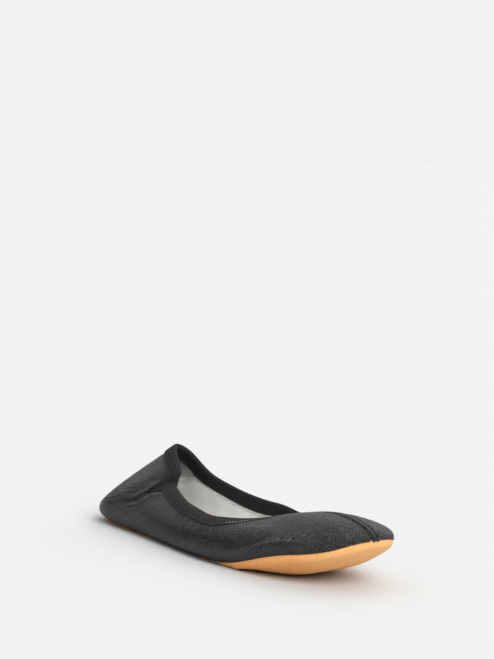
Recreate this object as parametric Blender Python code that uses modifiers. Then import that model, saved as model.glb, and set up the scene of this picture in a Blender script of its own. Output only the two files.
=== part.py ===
"""Slip-on gymnastics shoe, right foot: soft leather upper, cupped crepe sole, sock and elastic binding.

It is shaped in millimetres from the heel end of its sole: +X to the toe, +Y to the wearer's left, +Z up.
An empty then carries every piece so that the middle of the shoe's footprint is at the world's origin.
"""
from collections import namedtuple

import bpy
import numpy as np

MM = 0.001

# Driving sizes of the last.
LENGTH = 215.4
BALL_WIDTH = 66.0
HOOD_HEIGHT = 53.8
TOE_SPRING_START = 156.0
TOE_SPRING_RADIUS = 82.0
HEEL_ROLL_END = 12.0
HEEL_ROLL_RADIUS = 120.0
ARCH_START = 52.0
ARCH_END = 126.0
ARCH_HEIGHT = 0.8

# Materials and fits.
SOLE_THICKNESS = 2.6
SOLE_EDGE = 4.4
SOLE_EDGE_SHARE = 0.95
SOLE_FLAT_SHARE = 0.35
CUP_SHARE = 0.7
SOLE_UNDER_SHARES = (SOLE_FLAT_SHARE, 0.55, 0.72, 0.86, 0.96)
SOLE_OVER_SHARES = (0.93, CUP_SHARE, SOLE_FLAT_SHARE)
RIM_ROUND_OUT = 0.7
RIM_ROUND_UP = 0.4
SPINE_HEEL = 22.0
SPINE_TOE = 186.0
SOCK_THICKNESS = 1.0
SOCK_SHARE = 0.92
SOCK_GAP = 0.45
LEATHER = 1.3
SKIVED_LEATHER = 0.8
ELASTIC = 0.9
ELASTIC_DEPTH = 9.4
PINCHED_DEPTH = 6.0
EDGE_SETBACK = 2.0
PINCH_SPREAD = 0.02
GAP = 0.35

# The raised seam over the toe: half its width, the groove along its middle and the step at its sides.
# It fades out below the elastic, towards the share SEAM_END of the way from the sole to the collar.
SEAM_HALF = 2.8
SEAM_GROOVE = 0.6
SEAM_STEP = 0.7
SEAM_HEIGHT = 0.6
SEAM_END = 0.86
SEAM_FADE = 0.08
SEAM_CLEAR = 2.0

# How finely the pieces are faceted.
COLUMNS_A_SIDE = 42
BODY_ROWS = 11
ROW_BIAS = 1.3
BAND_ROWS = 2
FOLD_STEPS = 3
ARC_SAMPLES = 60

# A station is one seam-to-collar section of the upper. Along is a share of LENGTH and across a share of
# BALL_WIDTH, in percent. The foot of the section is on the sole's edge, at height edge. From there the
# leather first runs out by flare and up by rise. The collar end is at top_along, top_across and top_height,
# a percent of HOOD_HEIGHT, and the leather comes to it from reach further out, drop further down and lag
# further back.
Station = namedtuple(
    "Station", "name along across edge flare rise top_along top_across top_height reach drop lag"
)
STATIONS = (
    Station("heel_back", 0.7, 0.0, 1.8, 15.0, 7.5, 23.9, 0.0, 99.4, 30.0, 20.5, 0.0),
    Station("heel_corner_lat", 3.0, -18.9, 1.8, 18.5, 8.0, 27.2, -7.6, 90.7, 26.0, 20.0, 0.0),
    Station("heel_side_lat", 10.2, -30.3, 1.6, 14.5, 7.0, 31.4, -14.4, 76.2, 10.0, 14.0, 12.0),
    Station("fold_lat", 21.4, -33.3, 1.4, 14.0, 4.5, 31.2, -17.4, 62.3, 10.0, 2.0, 14.0),
    Station("waist_rear_lat", 32.5, -37.9, 1.3, 13.0, 2.5, 36.0, -25.8, 56.3, 10.0, -1.0, 4.0),
    Station("waist_lat", 43.2, -42.4, 1.3, 12.5, 2.0, 42.7, -34.8, 51.3, 9.0, -0.5, 0.0),
    Station("instep_lat", 53.9, -47.0, 1.4, 11.0, 3.0, 49.7, -39.4, 47.7, 11.4, -2.1, 0.0),
    Station("joint_lat", 64.1, -49.7, 3.4, 7.5, 5.0, 54.7, -38.4, 45.8, 10.0, 0.4, 0.0),
    Station("ball_lat", 73.4, -50.5, 9.6, 4.0, 8.0, 60.3, -31.0, 47.7, 13.4, 1.0, 0.0),
    Station("toe_shoulder_lat", 84.5, -43.2, 17.0, 3.0, 8.0, 64.1, -21.3, 49.5, 21.2, -0.7, 0.0),
    Station("toe_side_lat", 92.9, -28.8, 21.6, 2.5, 8.0, 66.3, -10.8, 50.6, 32.3, -6.8, 0.0),
    Station("toe_corner_lat", 97.7, -13.6, 26.6, 2.0, 7.5, 66.6, -4.2, 48.8, 37.4, -17.7, 0.0),
    Station("toe_tip", 100.0, 3.8, 28.8, 2.0, 7.0, 67.2, 5.0, 47.6, 43.3, -21.4, 0.0),
    Station("toe_corner_med", 99.3, 25.5, 28.0, 2.2, 7.0, 67.2, 12.3, 46.3, 36.7, -16.3, 0.0),
    Station("toe_side_med", 94.5, 42.7, 24.0, 2.5, 7.5, 66.5, 20.4, 48.0, 26.8, -7.9, 0.0),
    Station("toe_shoulder_med", 85.0, 50.3, 17.5, 3.0, 8.0, 64.4, 28.5, 50.8, 11.0, 3.6, 0.0),
    Station("ball_med", 73.4, 49.2, 10.0, 3.5, 8.0, 59.6, 31.6, 53.4, 5.8, 6.4, 0.0),
    Station("joint_med", 64.1, 42.4, 4.6, 5.5, 8.0, 55.2, 31.8, 53.8, 7.2, 6.3, 0.0),
    Station("instep_med", 53.9, 34.1, 1.8, 8.5, 7.0, 50.1, 34.0, 53.8, 4.5, 10.5, 0.0),
    Station("waist_med", 43.2, 29.5, 1.4, 10.0, 6.0, 43.6, 34.4, 55.4, 3.5, 10.6, 0.0),
    Station("waist_rear_med", 32.5, 28.8, 1.4, 11.0, 6.0, 37.6, 31.8, 59.9, 4.0, 10.0, 0.0),
    Station("fold_med", 21.4, 30.3, 1.5, 12.0, 6.0, 30.2, 26.5, 69.7, 5.0, 10.0, 0.0),
    Station("heel_side_med", 10.2, 30.3, 1.7, 13.0, 7.0, 25.5, 19.7, 85.1, 14.0, 17.0, 0.0),
    Station("heel_corner_med", 3.0, 18.9, 1.8, 15.0, 7.5, 24.4, 9.1, 96.1, 26.0, 20.0, 0.0),
)

# A crease runs through its points, in millimetres. The leather sinks by depth there and recovers over spread.
CreasePoint = namedtuple("CreasePoint", "x y z depth spread")
CREASES = {
    "heel_fold_lat": (
        CreasePoint(64.0, -13.0, 33.0, 0.8, 4.5),
        CreasePoint(57.0, -18.0, 28.0, 3.2, 4.5),
        CreasePoint(47.0, -22.0, 21.5, 3.0, 4.5),
        CreasePoint(36.0, -24.0, 17.0, 2.0, 4.5),
        CreasePoint(24.0, -24.0, 14.5, 0.6, 5.0),
    ),
    "heel_fold_med": (
        CreasePoint(64.0, 21.0, 30.0, 0.6, 6.0),
        CreasePoint(50.0, 24.0, 24.0, 1.8, 6.0),
        CreasePoint(36.0, 25.0, 18.0, 1.4, 6.0),
        CreasePoint(22.0, 24.0, 15.0, 0.4, 6.0),
    ),
    "side_trough_lat": (
        CreasePoint(56.0, -28.0, 9.5, 0.4, 6.0),
        CreasePoint(79.0, -31.5, 11.0, 1.2, 6.0),
        CreasePoint(100.0, -35.0, 12.0, 1.6, 6.0),
        CreasePoint(120.0, -36.0, 13.0, 1.8, 6.0),
        CreasePoint(139.0, -35.5, 14.5, 1.6, 6.0),
        CreasePoint(157.0, -33.0, 19.5, 1.0, 6.0),
        CreasePoint(171.0, -29.0, 25.0, 0.3, 6.0),
    ),
}


def closed_spline(marks, rows):
    """Second derivatives of the smooth closed curve through rows, at marks round a loop of length 1."""
    count = len(marks)
    steps = np.diff(np.append(marks, 1.0))
    matrix = np.zeros((count, count))
    right = np.zeros_like(rows)
    for here in range(count):
        before = (here - 1) % count
        after = (here + 1) % count
        matrix[here, before] += steps[before]
        matrix[here, here] += 2.0 * (steps[before] + steps[here])
        matrix[here, after] += steps[here]
        slope_after = (rows[after] - rows[here]) / steps[here]
        slope_before = (rows[here] - rows[before]) / steps[before]
        right[here] = 6.0 * (slope_after - slope_before)
    return np.linalg.solve(matrix, right)


def station_rows():
    """The stations in millimetres: foot x, y, z, flare, rise, collar x, y, z, reach, drop, lag."""
    rows = []
    for s in STATIONS:
        foot = (s.along * LENGTH / 100, s.across * BALL_WIDTH / 100, s.edge)
        top = (
            s.top_along * LENGTH / 100,
            s.top_across * BALL_WIDTH / 100,
            s.top_height * HOOD_HEIGHT / 100,
        )
        rows.append((*foot, s.flare, s.rise, *top, s.reach, s.drop, s.lag))
    return np.array(rows)


ROWS = station_rows()
CHORDS = np.linalg.norm(np.roll(ROWS[:, :2], -1, axis=0) - ROWS[:, :2], axis=1)
PERIMETER = CHORDS.sum()
MARKS = np.concatenate([[0.0], np.cumsum(CHORDS)[:-1]]) / PERIMETER
BENDS = closed_spline(MARKS, ROWS)
NAMES = [s.name for s in STATIONS]
TOE_MARK = MARKS[NAMES.index("toe_tip")]
PINCH_MARK = (MARKS[NAMES.index("heel_side_lat")] + 2 * MARKS[NAMES.index("fold_lat")]) / 3


def read_loop(u):
    """The section's values at places u round the shoe, 0 to 1 from the heel by the outer side."""
    u = np.mod(u, 1.0)
    ends = np.append(MARKS, 1.0)
    here = np.clip(np.searchsorted(ends, u, side="right") - 1, 0, len(MARKS) - 1)
    after = (here + 1) % len(MARKS)
    step = (ends[here + 1] - ends[here])[..., None]
    b = (u - ends[here])[..., None] / step
    a = 1.0 - b
    bend = (a**3 - a) * BENDS[here] + (b**3 - b) * BENDS[after]
    return a * ROWS[here] + b * ROWS[after] + bend * step**2 / 6.0


def plan_normal(u, reach=1e-4):
    """Outward direction, level with the floor, of the sole's outline."""
    along = read_loop(u + reach)[..., :2] - read_loop(u - reach)[..., :2]
    out = np.stack([along[..., 1], -along[..., 0], np.zeros(along.shape[:-1])], axis=-1)
    return out / np.linalg.norm(out, axis=-1, keepdims=True)


def smooth_wall(u, v):
    """The leather's outer face before creases: v is 0 on the sole's edge and 1 at the collar."""
    section = read_loop(u)
    out = plan_normal(u)
    forward = np.array([1.0, 0.0, 0.0])
    up = np.array([0.0, 0.0, 1.0])
    foot = section[..., 0:3]
    top = section[..., 5:8]
    low = foot + out * section[..., 3:4] + up * section[..., 4:5]
    high = top + out * section[..., 8:9] - up * section[..., 9:10] - forward * section[..., 10:11]
    w = v[..., None]
    x = 1.0 - w
    return x**3 * foot + 3 * w * x**2 * low + 3 * w**2 * x * high + w**3 * top


def face_normal(face, u, v, du=4e-4, dv=2e-3):
    """Outward normal of a face given as a function of u and v."""
    low = np.clip(v - dv, 0.0, 1.0)
    high = np.clip(v + dv, 0.0, 1.0)
    around = face(u + du, v) - face(u - du, v)
    upward = face(u, high) - face(u, low)
    normal = np.cross(around, upward)
    return normal / np.linalg.norm(normal, axis=-1, keepdims=True)


def crease_depth(points, rows):
    """How far the leather sinks at points because of one crease."""
    rows = np.array(rows)
    nearest = np.full(points.shape[:-1], np.inf)
    depth = np.zeros(points.shape[:-1])
    spread = np.ones(points.shape[:-1])
    for start, end in zip(rows[:-1], rows[1:]):
        run = end[:3] - start[:3]
        share = np.clip(((points - start[:3]) @ run) / (run @ run), 0.0, 1.0)
        away = np.linalg.norm(points - start[:3] - share[..., None] * run, axis=-1)
        closer = away < nearest
        nearest = np.where(closer, away, nearest)
        depth = np.where(closer, start[3] + share * (end[3] - start[3]), depth)
        spread = np.where(closer, start[4] + share * (end[4] - start[4]), spread)
    return depth * np.exp(-((nearest / spread) ** 2))


def seam_height(u, v):
    """The twin raised strips over the toe, which run out below the collar elastic."""
    away = np.abs(u - TOE_MARK) * PERIMETER
    outer = np.clip((SEAM_HALF + SEAM_STEP - away) / SEAM_STEP, 0.0, 1.0)
    groove = np.clip(away / SEAM_GROOVE, 0.0, 1.0)
    return SEAM_HEIGHT * outer * groove * np.clip((SEAM_END - v) / SEAM_FADE, 0.0, 1.0)


def outer_face(u, v):
    """The leather's outer face with its creases and its toe seam."""
    base = smooth_wall(u, v)
    lift = seam_height(u, v)
    for rows in CREASES.values():
        lift = lift - crease_depth(base, rows)
    return base + face_normal(smooth_wall, u, v) * lift[..., None]


def column_places():
    """Places u of the columns round the shoe, the same number on each side of the heel and the toe tip."""
    shares = np.linspace(0.0, 1.0, COLUMNS_A_SIDE + 1)
    places = np.concatenate([shares * TOE_MARK, 1.0 - shares[-2:0:-1] * (1.0 - TOE_MARK)])
    steps = np.array([SEAM_GROOVE, SEAM_HALF, SEAM_HALF + SEAM_STEP]) / PERIMETER
    clear = SEAM_CLEAR / PERIMETER + steps[-1]
    kept = places[(np.abs(places - TOE_MARK) > clear) | (places == TOE_MARK)]
    return np.sort(np.concatenate([kept, TOE_MARK - steps, TOE_MARK + steps]))


def wall_rows(u):
    """Heights v of the rows at each column, closer near the sole, one of them on the elastic's lower edge."""
    fine = np.linspace(0.0, 1.0, ARC_SAMPLES + 1)
    path = smooth_wall(np.repeat(u[:, None], len(fine), axis=1), np.repeat(fine[None], len(u), axis=0))
    lengths = np.linalg.norm(np.diff(path, axis=1), axis=2)
    reached = np.concatenate([np.zeros((len(u), 1)), np.cumsum(lengths, axis=1)], axis=1)
    pinch = np.exp(-(((u - PINCH_MARK) / PINCH_SPREAD) ** 2))
    depths = ELASTIC_DEPTH + (PINCHED_DEPTH - ELASTIC_DEPTH) * pinch
    rows = []
    for run, depth in zip(reached, depths):
        band = run[-1] - depth
        wanted = np.concatenate(
            [
                np.linspace(0.0, 1.0, BODY_ROWS + 1) ** ROW_BIAS * band,
                np.linspace(band, run[-1] - EDGE_SETBACK, BAND_ROWS + 1)[1:],
            ]
        )
        rows.append(np.interp(wanted, run, fine))
    return np.array(rows)


def sole_profile(x):
    """Height of the sole's underside along its middle: heel roll, flat, low arch, flat ball, toe spring."""
    heel = np.clip(HEEL_ROLL_END - x, 0.0, None) ** 2 / (2 * HEEL_ROLL_RADIUS)
    toe = np.clip(x - TOE_SPRING_START, 0.0, None) ** 2 / (2 * TOE_SPRING_RADIUS)
    share = np.clip((x - ARCH_START) / (ARCH_END - ARCH_START), 0.0, 1.0)
    return heel + toe + ARCH_HEIGHT * np.sin(np.pi * share) ** 2


def sole_underside(u, share):
    """Underside of the sole at a share of the way from its spine to its edge: flat, then cupped upward."""
    edge = read_loop(u)[..., :3]
    spine = np.clip(edge[..., 0], SPINE_HEEL, SPINE_TOE)
    x = spine + (edge[..., 0] - spine) * share
    cup = np.clip((share - SOLE_FLAT_SHARE) / (1.0 - SOLE_FLAT_SHARE), 0.0, 1.0) ** 2
    height = edge[..., 2] - sole_profile(edge[..., 0])
    thick = np.minimum(SOLE_EDGE, height * SOLE_EDGE_SHARE)
    z = sole_profile(x) + (height - thick) * cup
    return np.stack([x, edge[..., 1] * share, z], axis=-1)


def raised(points, height):
    """Points moved straight up."""
    return points + np.array([0.0, 0.0, height])


def material(name, colour, roughness):
    """A plain Principled material."""
    made = bpy.data.materials.new(name)
    made.use_nodes = True
    shader = made.node_tree.nodes["Principled BSDF"]
    shader.inputs["Base Color"].default_value = (*colour, 1.0)
    shader.inputs["Roughness"].default_value = roughness
    shader.inputs["Metallic"].default_value = 0.0
    return made


def add_object(name, points, faces, finish, home):
    """A smooth-shaded object from points in millimetres."""
    mesh = bpy.data.meshes.new(name)
    mesh.from_pydata((np.asarray(points) * MM).tolist(), [], faces)
    mesh.materials.append(finish)
    mesh.shade_smooth()
    mesh.update()
    made = bpy.data.objects.new(name, mesh)
    home.objects.link(made)
    return made


def ring_faces(columns, rings):
    """Quads between rings of the same number of points, each ring closed on itself."""
    faces = []
    for ring in range(rings - 1):
        for here in range(columns):
            after = (here + 1) % columns
            low = ring * columns
            high = low + columns
            faces.append((low + here, low + after, high + after, high + here))
    return faces


def ladder_faces(first, columns, upward):
    """Quads across the middle of a ring, from each column to its partner on the other side of the shoe."""
    faces = []
    for here in range(columns // 2):
        left = (first + here, first + here + 1)
        right = (first + (columns - here - 1) % columns, first + (columns - here) % columns)
        corners = list(dict.fromkeys((*left, *right)))
        faces.append(tuple(corners if upward else reversed(corners)))
    return faces


def add_layer(name, rings, finish, home):
    """A closed sheet from rings that run from its underside's middle, round its edge, to its upper middle."""
    columns = len(rings[0])
    faces = ring_faces(columns, len(rings))
    faces += ladder_faces(0, columns, upward=False)
    faces += ladder_faces((len(rings) - 1) * columns, columns, upward=True)
    return add_object(name, np.concatenate(rings), faces, finish, home)


def add_outsole(finish, home):
    """The crepe sole, cupped up round the ball and toe, with its rim just under the leather's edge."""
    u = column_places()
    under = [sole_underside(u, share) for share in SOLE_UNDER_SHARES]
    rim = raised(read_loop(u)[:, :3], -GAP)
    rounding = under[-1] + (rim - under[-1]) * np.array([RIM_ROUND_OUT, RIM_ROUND_OUT, RIM_ROUND_UP])
    over = [raised(sole_underside(u, share), SOLE_THICKNESS) for share in SOLE_OVER_SHARES]
    return add_layer("outsole", [*under, rounding, rim, *over], finish, home)


def add_insole(finish, home):
    """The thin sock on the sole, clear of the leather all round."""
    u = column_places()
    shares = (SOLE_FLAT_SHARE, CUP_SHARE, SOCK_SHARE)
    under = [raised(sole_underside(u, share), SOLE_THICKNESS + SOCK_GAP) for share in shares]
    over = [raised(ring, SOCK_THICKNESS) for ring in reversed(under)]
    return add_layer("insole", [*under, *over], finish, home)


def add_upper(finish, home):
    """The leather: an open sheet from the sole's edge to the collar, thickened inward and skived on top."""
    u = column_places()
    v = wall_rows(u)
    points = outer_face(np.repeat(u[:, None], v.shape[1], axis=1), v)
    rings = points.transpose(1, 0, 2)
    made = add_object("upper", rings.reshape(-1, 3), ring_faces(len(u), len(rings)), finish, home)
    body = made.vertex_groups.new(name="full_thickness")
    thin = SKIVED_LEATHER / LEATHER
    for ring in range(len(rings)):
        columns = range(ring * len(u), (ring + 1) * len(u))
        body.add(list(columns), 1.0 if ring < BODY_ROWS else thin, "REPLACE")
    shell = made.modifiers.new("wall", "SOLIDIFY")
    shell.thickness = LEATHER * MM
    shell.offset = -1.0
    shell.vertex_group = body.name
    return made


def add_collar_elastic(finish, home):
    """The elastic tape: a sheet folded over the leather's edge, thickened towards the leather."""
    u = column_places()
    v = wall_rows(u)[:, BODY_ROWS:]
    grid = np.repeat(u[:, None], v.shape[1], axis=1)
    face = outer_face(grid, v)
    normal = face_normal(outer_face, grid, v)
    outside = face + normal * (GAP + ELASTIC)
    inside = face - normal * (SKIVED_LEATHER + GAP + ELASTIC)
    end = normal[:, -1]
    upward = face[:, -1] - face[:, -2]
    upward -= end * (upward * end).sum(axis=1, keepdims=True)
    upward /= np.linalg.norm(upward, axis=1, keepdims=True)
    middle = face[:, -1] + upward * GAP - end * SKIVED_LEATHER / 2
    radius = SKIVED_LEATHER / 2 + GAP + ELASTIC
    rings = list(outside.transpose(1, 0, 2))
    for angle in np.linspace(0.0, np.pi, FOLD_STEPS + 1):
        rings.append(middle + radius * (np.cos(angle) * end + np.sin(angle) * upward))
    rings += list(inside.transpose(1, 0, 2)[::-1])
    made = add_object(
        "collar_elastic", np.concatenate(rings), ring_faces(len(u), len(rings)), finish, home
    )
    tape = made.modifiers.new("tape", "SOLIDIFY")
    tape.thickness = ELASTIC * MM
    tape.offset = -1.0
    return made


def clear_scene():
    """Start from an empty scene."""
    for old in list(bpy.data.objects):
        bpy.data.objects.remove(old, do_unlink=True)


def centre_on_floor(pieces, home):
    """Carry the pieces on an empty that puts the middle of their footprint at the origin."""
    carrier = bpy.data.objects.new("shoe_carrier", None)
    home.objects.link(carrier)
    for piece in pieces:
        piece.parent = carrier
    bpy.context.view_layer.update()
    depsgraph = bpy.context.evaluated_depsgraph_get()
    corners = []
    for piece in pieces:
        mesh = piece.evaluated_get(depsgraph).to_mesh()
        flat = np.empty(len(mesh.vertices) * 3)
        mesh.vertices.foreach_get("co", flat)
        corners.append(flat.reshape(-1, 3))
    points = np.concatenate(corners)
    low = points.min(axis=0)
    high = points.max(axis=0)
    carrier.location = (-(low[0] + high[0]) / 2, -(low[1] + high[1]) / 2, -low[2])


def main():
    clear_scene()
    home = bpy.data.collections.new("gymnastics_shoe")
    bpy.context.scene.collection.children.link(home)
    leather = material("black_leather", (0.022, 0.022, 0.024), 0.42)
    tape = material("black_elastic", (0.017, 0.015, 0.014), 0.75)
    crepe = material("tan_crepe", (0.72, 0.36, 0.11), 0.62)
    sock = material("pale_sock", (0.72, 0.71, 0.67), 0.85)
    pieces = [
        add_outsole(crepe, home),
        add_insole(sock, home),
        add_upper(leather, home),
        add_collar_elastic(tape, home),
    ]
    centre_on_floor(pieces, home)


main()
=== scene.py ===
"""Looks of the gymnastics shoe: grained black leather, ribbed elastic, cotton lining, sock and crepe sole.

The shapes are worked out in millimetres from the heel end of the sole, with the same sections as the solids,
and are set down where the frame's sole lies.
"""
import math
from collections import namedtuple

import bpy
import numpy as np
from mathutils import Matrix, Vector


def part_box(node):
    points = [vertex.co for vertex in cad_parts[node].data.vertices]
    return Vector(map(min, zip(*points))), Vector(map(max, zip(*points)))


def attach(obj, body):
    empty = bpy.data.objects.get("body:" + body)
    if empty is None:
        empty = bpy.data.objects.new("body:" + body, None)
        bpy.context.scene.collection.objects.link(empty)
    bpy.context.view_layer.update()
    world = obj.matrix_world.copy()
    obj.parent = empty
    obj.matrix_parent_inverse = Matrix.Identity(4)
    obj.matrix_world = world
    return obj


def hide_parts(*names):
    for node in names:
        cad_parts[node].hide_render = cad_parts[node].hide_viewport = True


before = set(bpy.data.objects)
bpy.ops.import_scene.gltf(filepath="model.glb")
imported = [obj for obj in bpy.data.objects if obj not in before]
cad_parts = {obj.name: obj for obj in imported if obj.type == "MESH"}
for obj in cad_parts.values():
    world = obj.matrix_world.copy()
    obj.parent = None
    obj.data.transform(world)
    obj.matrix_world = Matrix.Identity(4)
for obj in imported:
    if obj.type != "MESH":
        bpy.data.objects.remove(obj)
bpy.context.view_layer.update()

MM = 0.001
BODY = "root"
UP = np.array([0.0, 0.0, 1.0])
FORWARD = np.array([1.0, 0.0, 0.0])

# Driving sizes of the last.
LENGTH = 215.4
BALL_WIDTH = 66.0
HOOD_HEIGHT = 53.8
TOE_SPRING_START = 156.0
TOE_SPRING_RADIUS = 82.0
HEEL_ROLL_END = 12.0
HEEL_ROLL_RADIUS = 120.0
ARCH_START = 52.0
ARCH_END = 126.0
ARCH_HEIGHT = 0.8

# The sections of the last: along is a percent of LENGTH, across of BALL_WIDTH and top_height of HOOD_HEIGHT.
# The leather leaves the sole's edge, at height edge, by flare outward and rise upward. It comes to the collar
# from reach further out, drop further down and lag further back.
Station = namedtuple(
    "Station", "name along across edge flare rise top_along top_across top_height reach drop lag"
)
STATIONS = (
    Station("heel_back", 0.7, 0.0, 1.8, 15.0, 7.5, 23.9, 0.0, 99.4, 30.0, 20.5, 0.0),
    Station("heel_corner_lat", 3.0, -18.9, 1.8, 18.5, 8.0, 27.2, -7.6, 90.7, 26.0, 20.0, 0.0),
    Station("heel_side_lat", 10.2, -30.3, 1.6, 14.5, 7.0, 31.4, -14.4, 76.2, 10.0, 14.0, 12.0),
    Station("fold_lat", 21.4, -33.3, 1.4, 14.0, 4.5, 31.2, -17.4, 62.3, 10.0, 2.0, 14.0),
    Station("waist_rear_lat", 32.5, -37.9, 1.3, 13.0, 2.5, 36.0, -25.8, 56.3, 10.0, -1.0, 4.0),
    Station("waist_lat", 43.2, -42.4, 1.3, 12.5, 2.0, 42.7, -34.8, 51.3, 9.0, -0.5, 0.0),
    Station("instep_lat", 53.9, -47.0, 1.4, 11.0, 3.0, 49.7, -39.4, 47.7, 11.4, -2.1, 0.0),
    Station("joint_lat", 64.1, -49.7, 3.4, 7.5, 5.0, 54.7, -38.4, 45.8, 10.0, 0.4, 0.0),
    Station("ball_lat", 73.4, -50.5, 9.6, 4.0, 8.0, 60.3, -31.0, 47.7, 13.4, 1.0, 0.0),
    Station("toe_shoulder_lat", 84.5, -43.2, 17.0, 3.0, 8.0, 64.1, -21.3, 49.5, 21.2, -0.7, 0.0),
    Station("toe_side_lat", 92.9, -28.8, 21.6, 2.5, 8.0, 66.3, -10.8, 50.6, 32.3, -6.8, 0.0),
    Station("toe_corner_lat", 97.7, -13.6, 26.6, 2.0, 7.5, 66.6, -4.2, 48.8, 37.4, -17.7, 0.0),
    Station("toe_tip", 100.0, 3.8, 28.8, 2.0, 7.0, 67.2, 5.0, 47.6, 43.3, -21.4, 0.0),
    Station("toe_corner_med", 99.3, 25.5, 28.0, 2.2, 7.0, 67.2, 12.3, 46.3, 36.7, -16.3, 0.0),
    Station("toe_side_med", 94.5, 42.7, 24.0, 2.5, 7.5, 66.5, 20.4, 48.0, 26.8, -7.9, 0.0),
    Station("toe_shoulder_med", 85.0, 50.3, 17.5, 3.0, 8.0, 64.4, 28.5, 50.8, 11.0, 3.6, 0.0),
    Station("ball_med", 73.4, 49.2, 10.0, 3.5, 8.0, 59.6, 31.6, 53.4, 5.8, 6.4, 0.0),
    Station("joint_med", 64.1, 42.4, 4.6, 5.5, 8.0, 55.2, 31.8, 53.8, 7.2, 6.3, 0.0),
    Station("instep_med", 53.9, 34.1, 1.8, 8.5, 7.0, 50.1, 34.0, 53.8, 4.5, 10.5, 0.0),
    Station("waist_med", 43.2, 29.5, 1.4, 10.0, 6.0, 43.6, 34.4, 55.4, 3.5, 10.6, 0.0),
    Station("waist_rear_med", 32.5, 28.8, 1.4, 11.0, 6.0, 37.6, 31.8, 59.9, 4.0, 10.0, 0.0),
    Station("fold_med", 21.4, 30.3, 1.5, 12.0, 6.0, 30.2, 26.5, 69.7, 5.0, 10.0, 0.0),
    Station("heel_side_med", 10.2, 30.3, 1.7, 13.0, 7.0, 25.5, 19.7, 85.1, 14.0, 17.0, 0.0),
    Station("heel_corner_med", 3.0, 18.9, 1.8, 15.0, 7.5, 24.4, 9.1, 96.1, 26.0, 20.0, 0.0),
)

# A fold is a row of points, each with x, y, z, depth and spread in millimetres. The leather sinks by depth
# there, or rises where depth is negative, and recovers over spread. The solids have these folds too.
MAIN_FOLDS = {
    "heel_fold_lat": (
        (64.0, -13.0, 33.0, 0.8, 4.5), (57.0, -18.0, 28.0, 3.2, 4.5), (47.0, -22.0, 21.5, 3.0, 4.5),
        (36.0, -24.0, 17.0, 2.0, 4.5), (24.0, -24.0, 14.5, 0.6, 5.0),
    ),
    "heel_fold_med": (
        (64.0, 21.0, 30.0, 0.6, 6.0), (50.0, 24.0, 24.0, 1.8, 6.0), (36.0, 25.0, 18.0, 1.4, 6.0),
        (22.0, 24.0, 15.0, 0.4, 6.0),
    ),
    "side_trough_lat": (
        (56.0, -28.0, 9.5, 0.4, 6.0), (79.0, -31.5, 11.0, 1.2, 6.0), (100.0, -35.0, 12.0, 1.6, 6.0),
        (120.0, -36.0, 13.0, 1.8, 6.0), (139.0, -35.5, 14.5, 1.6, 6.0), (157.0, -33.0, 19.5, 1.0, 6.0),
        (171.0, -29.0, 25.0, 0.3, 6.0),
    ),
}

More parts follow.
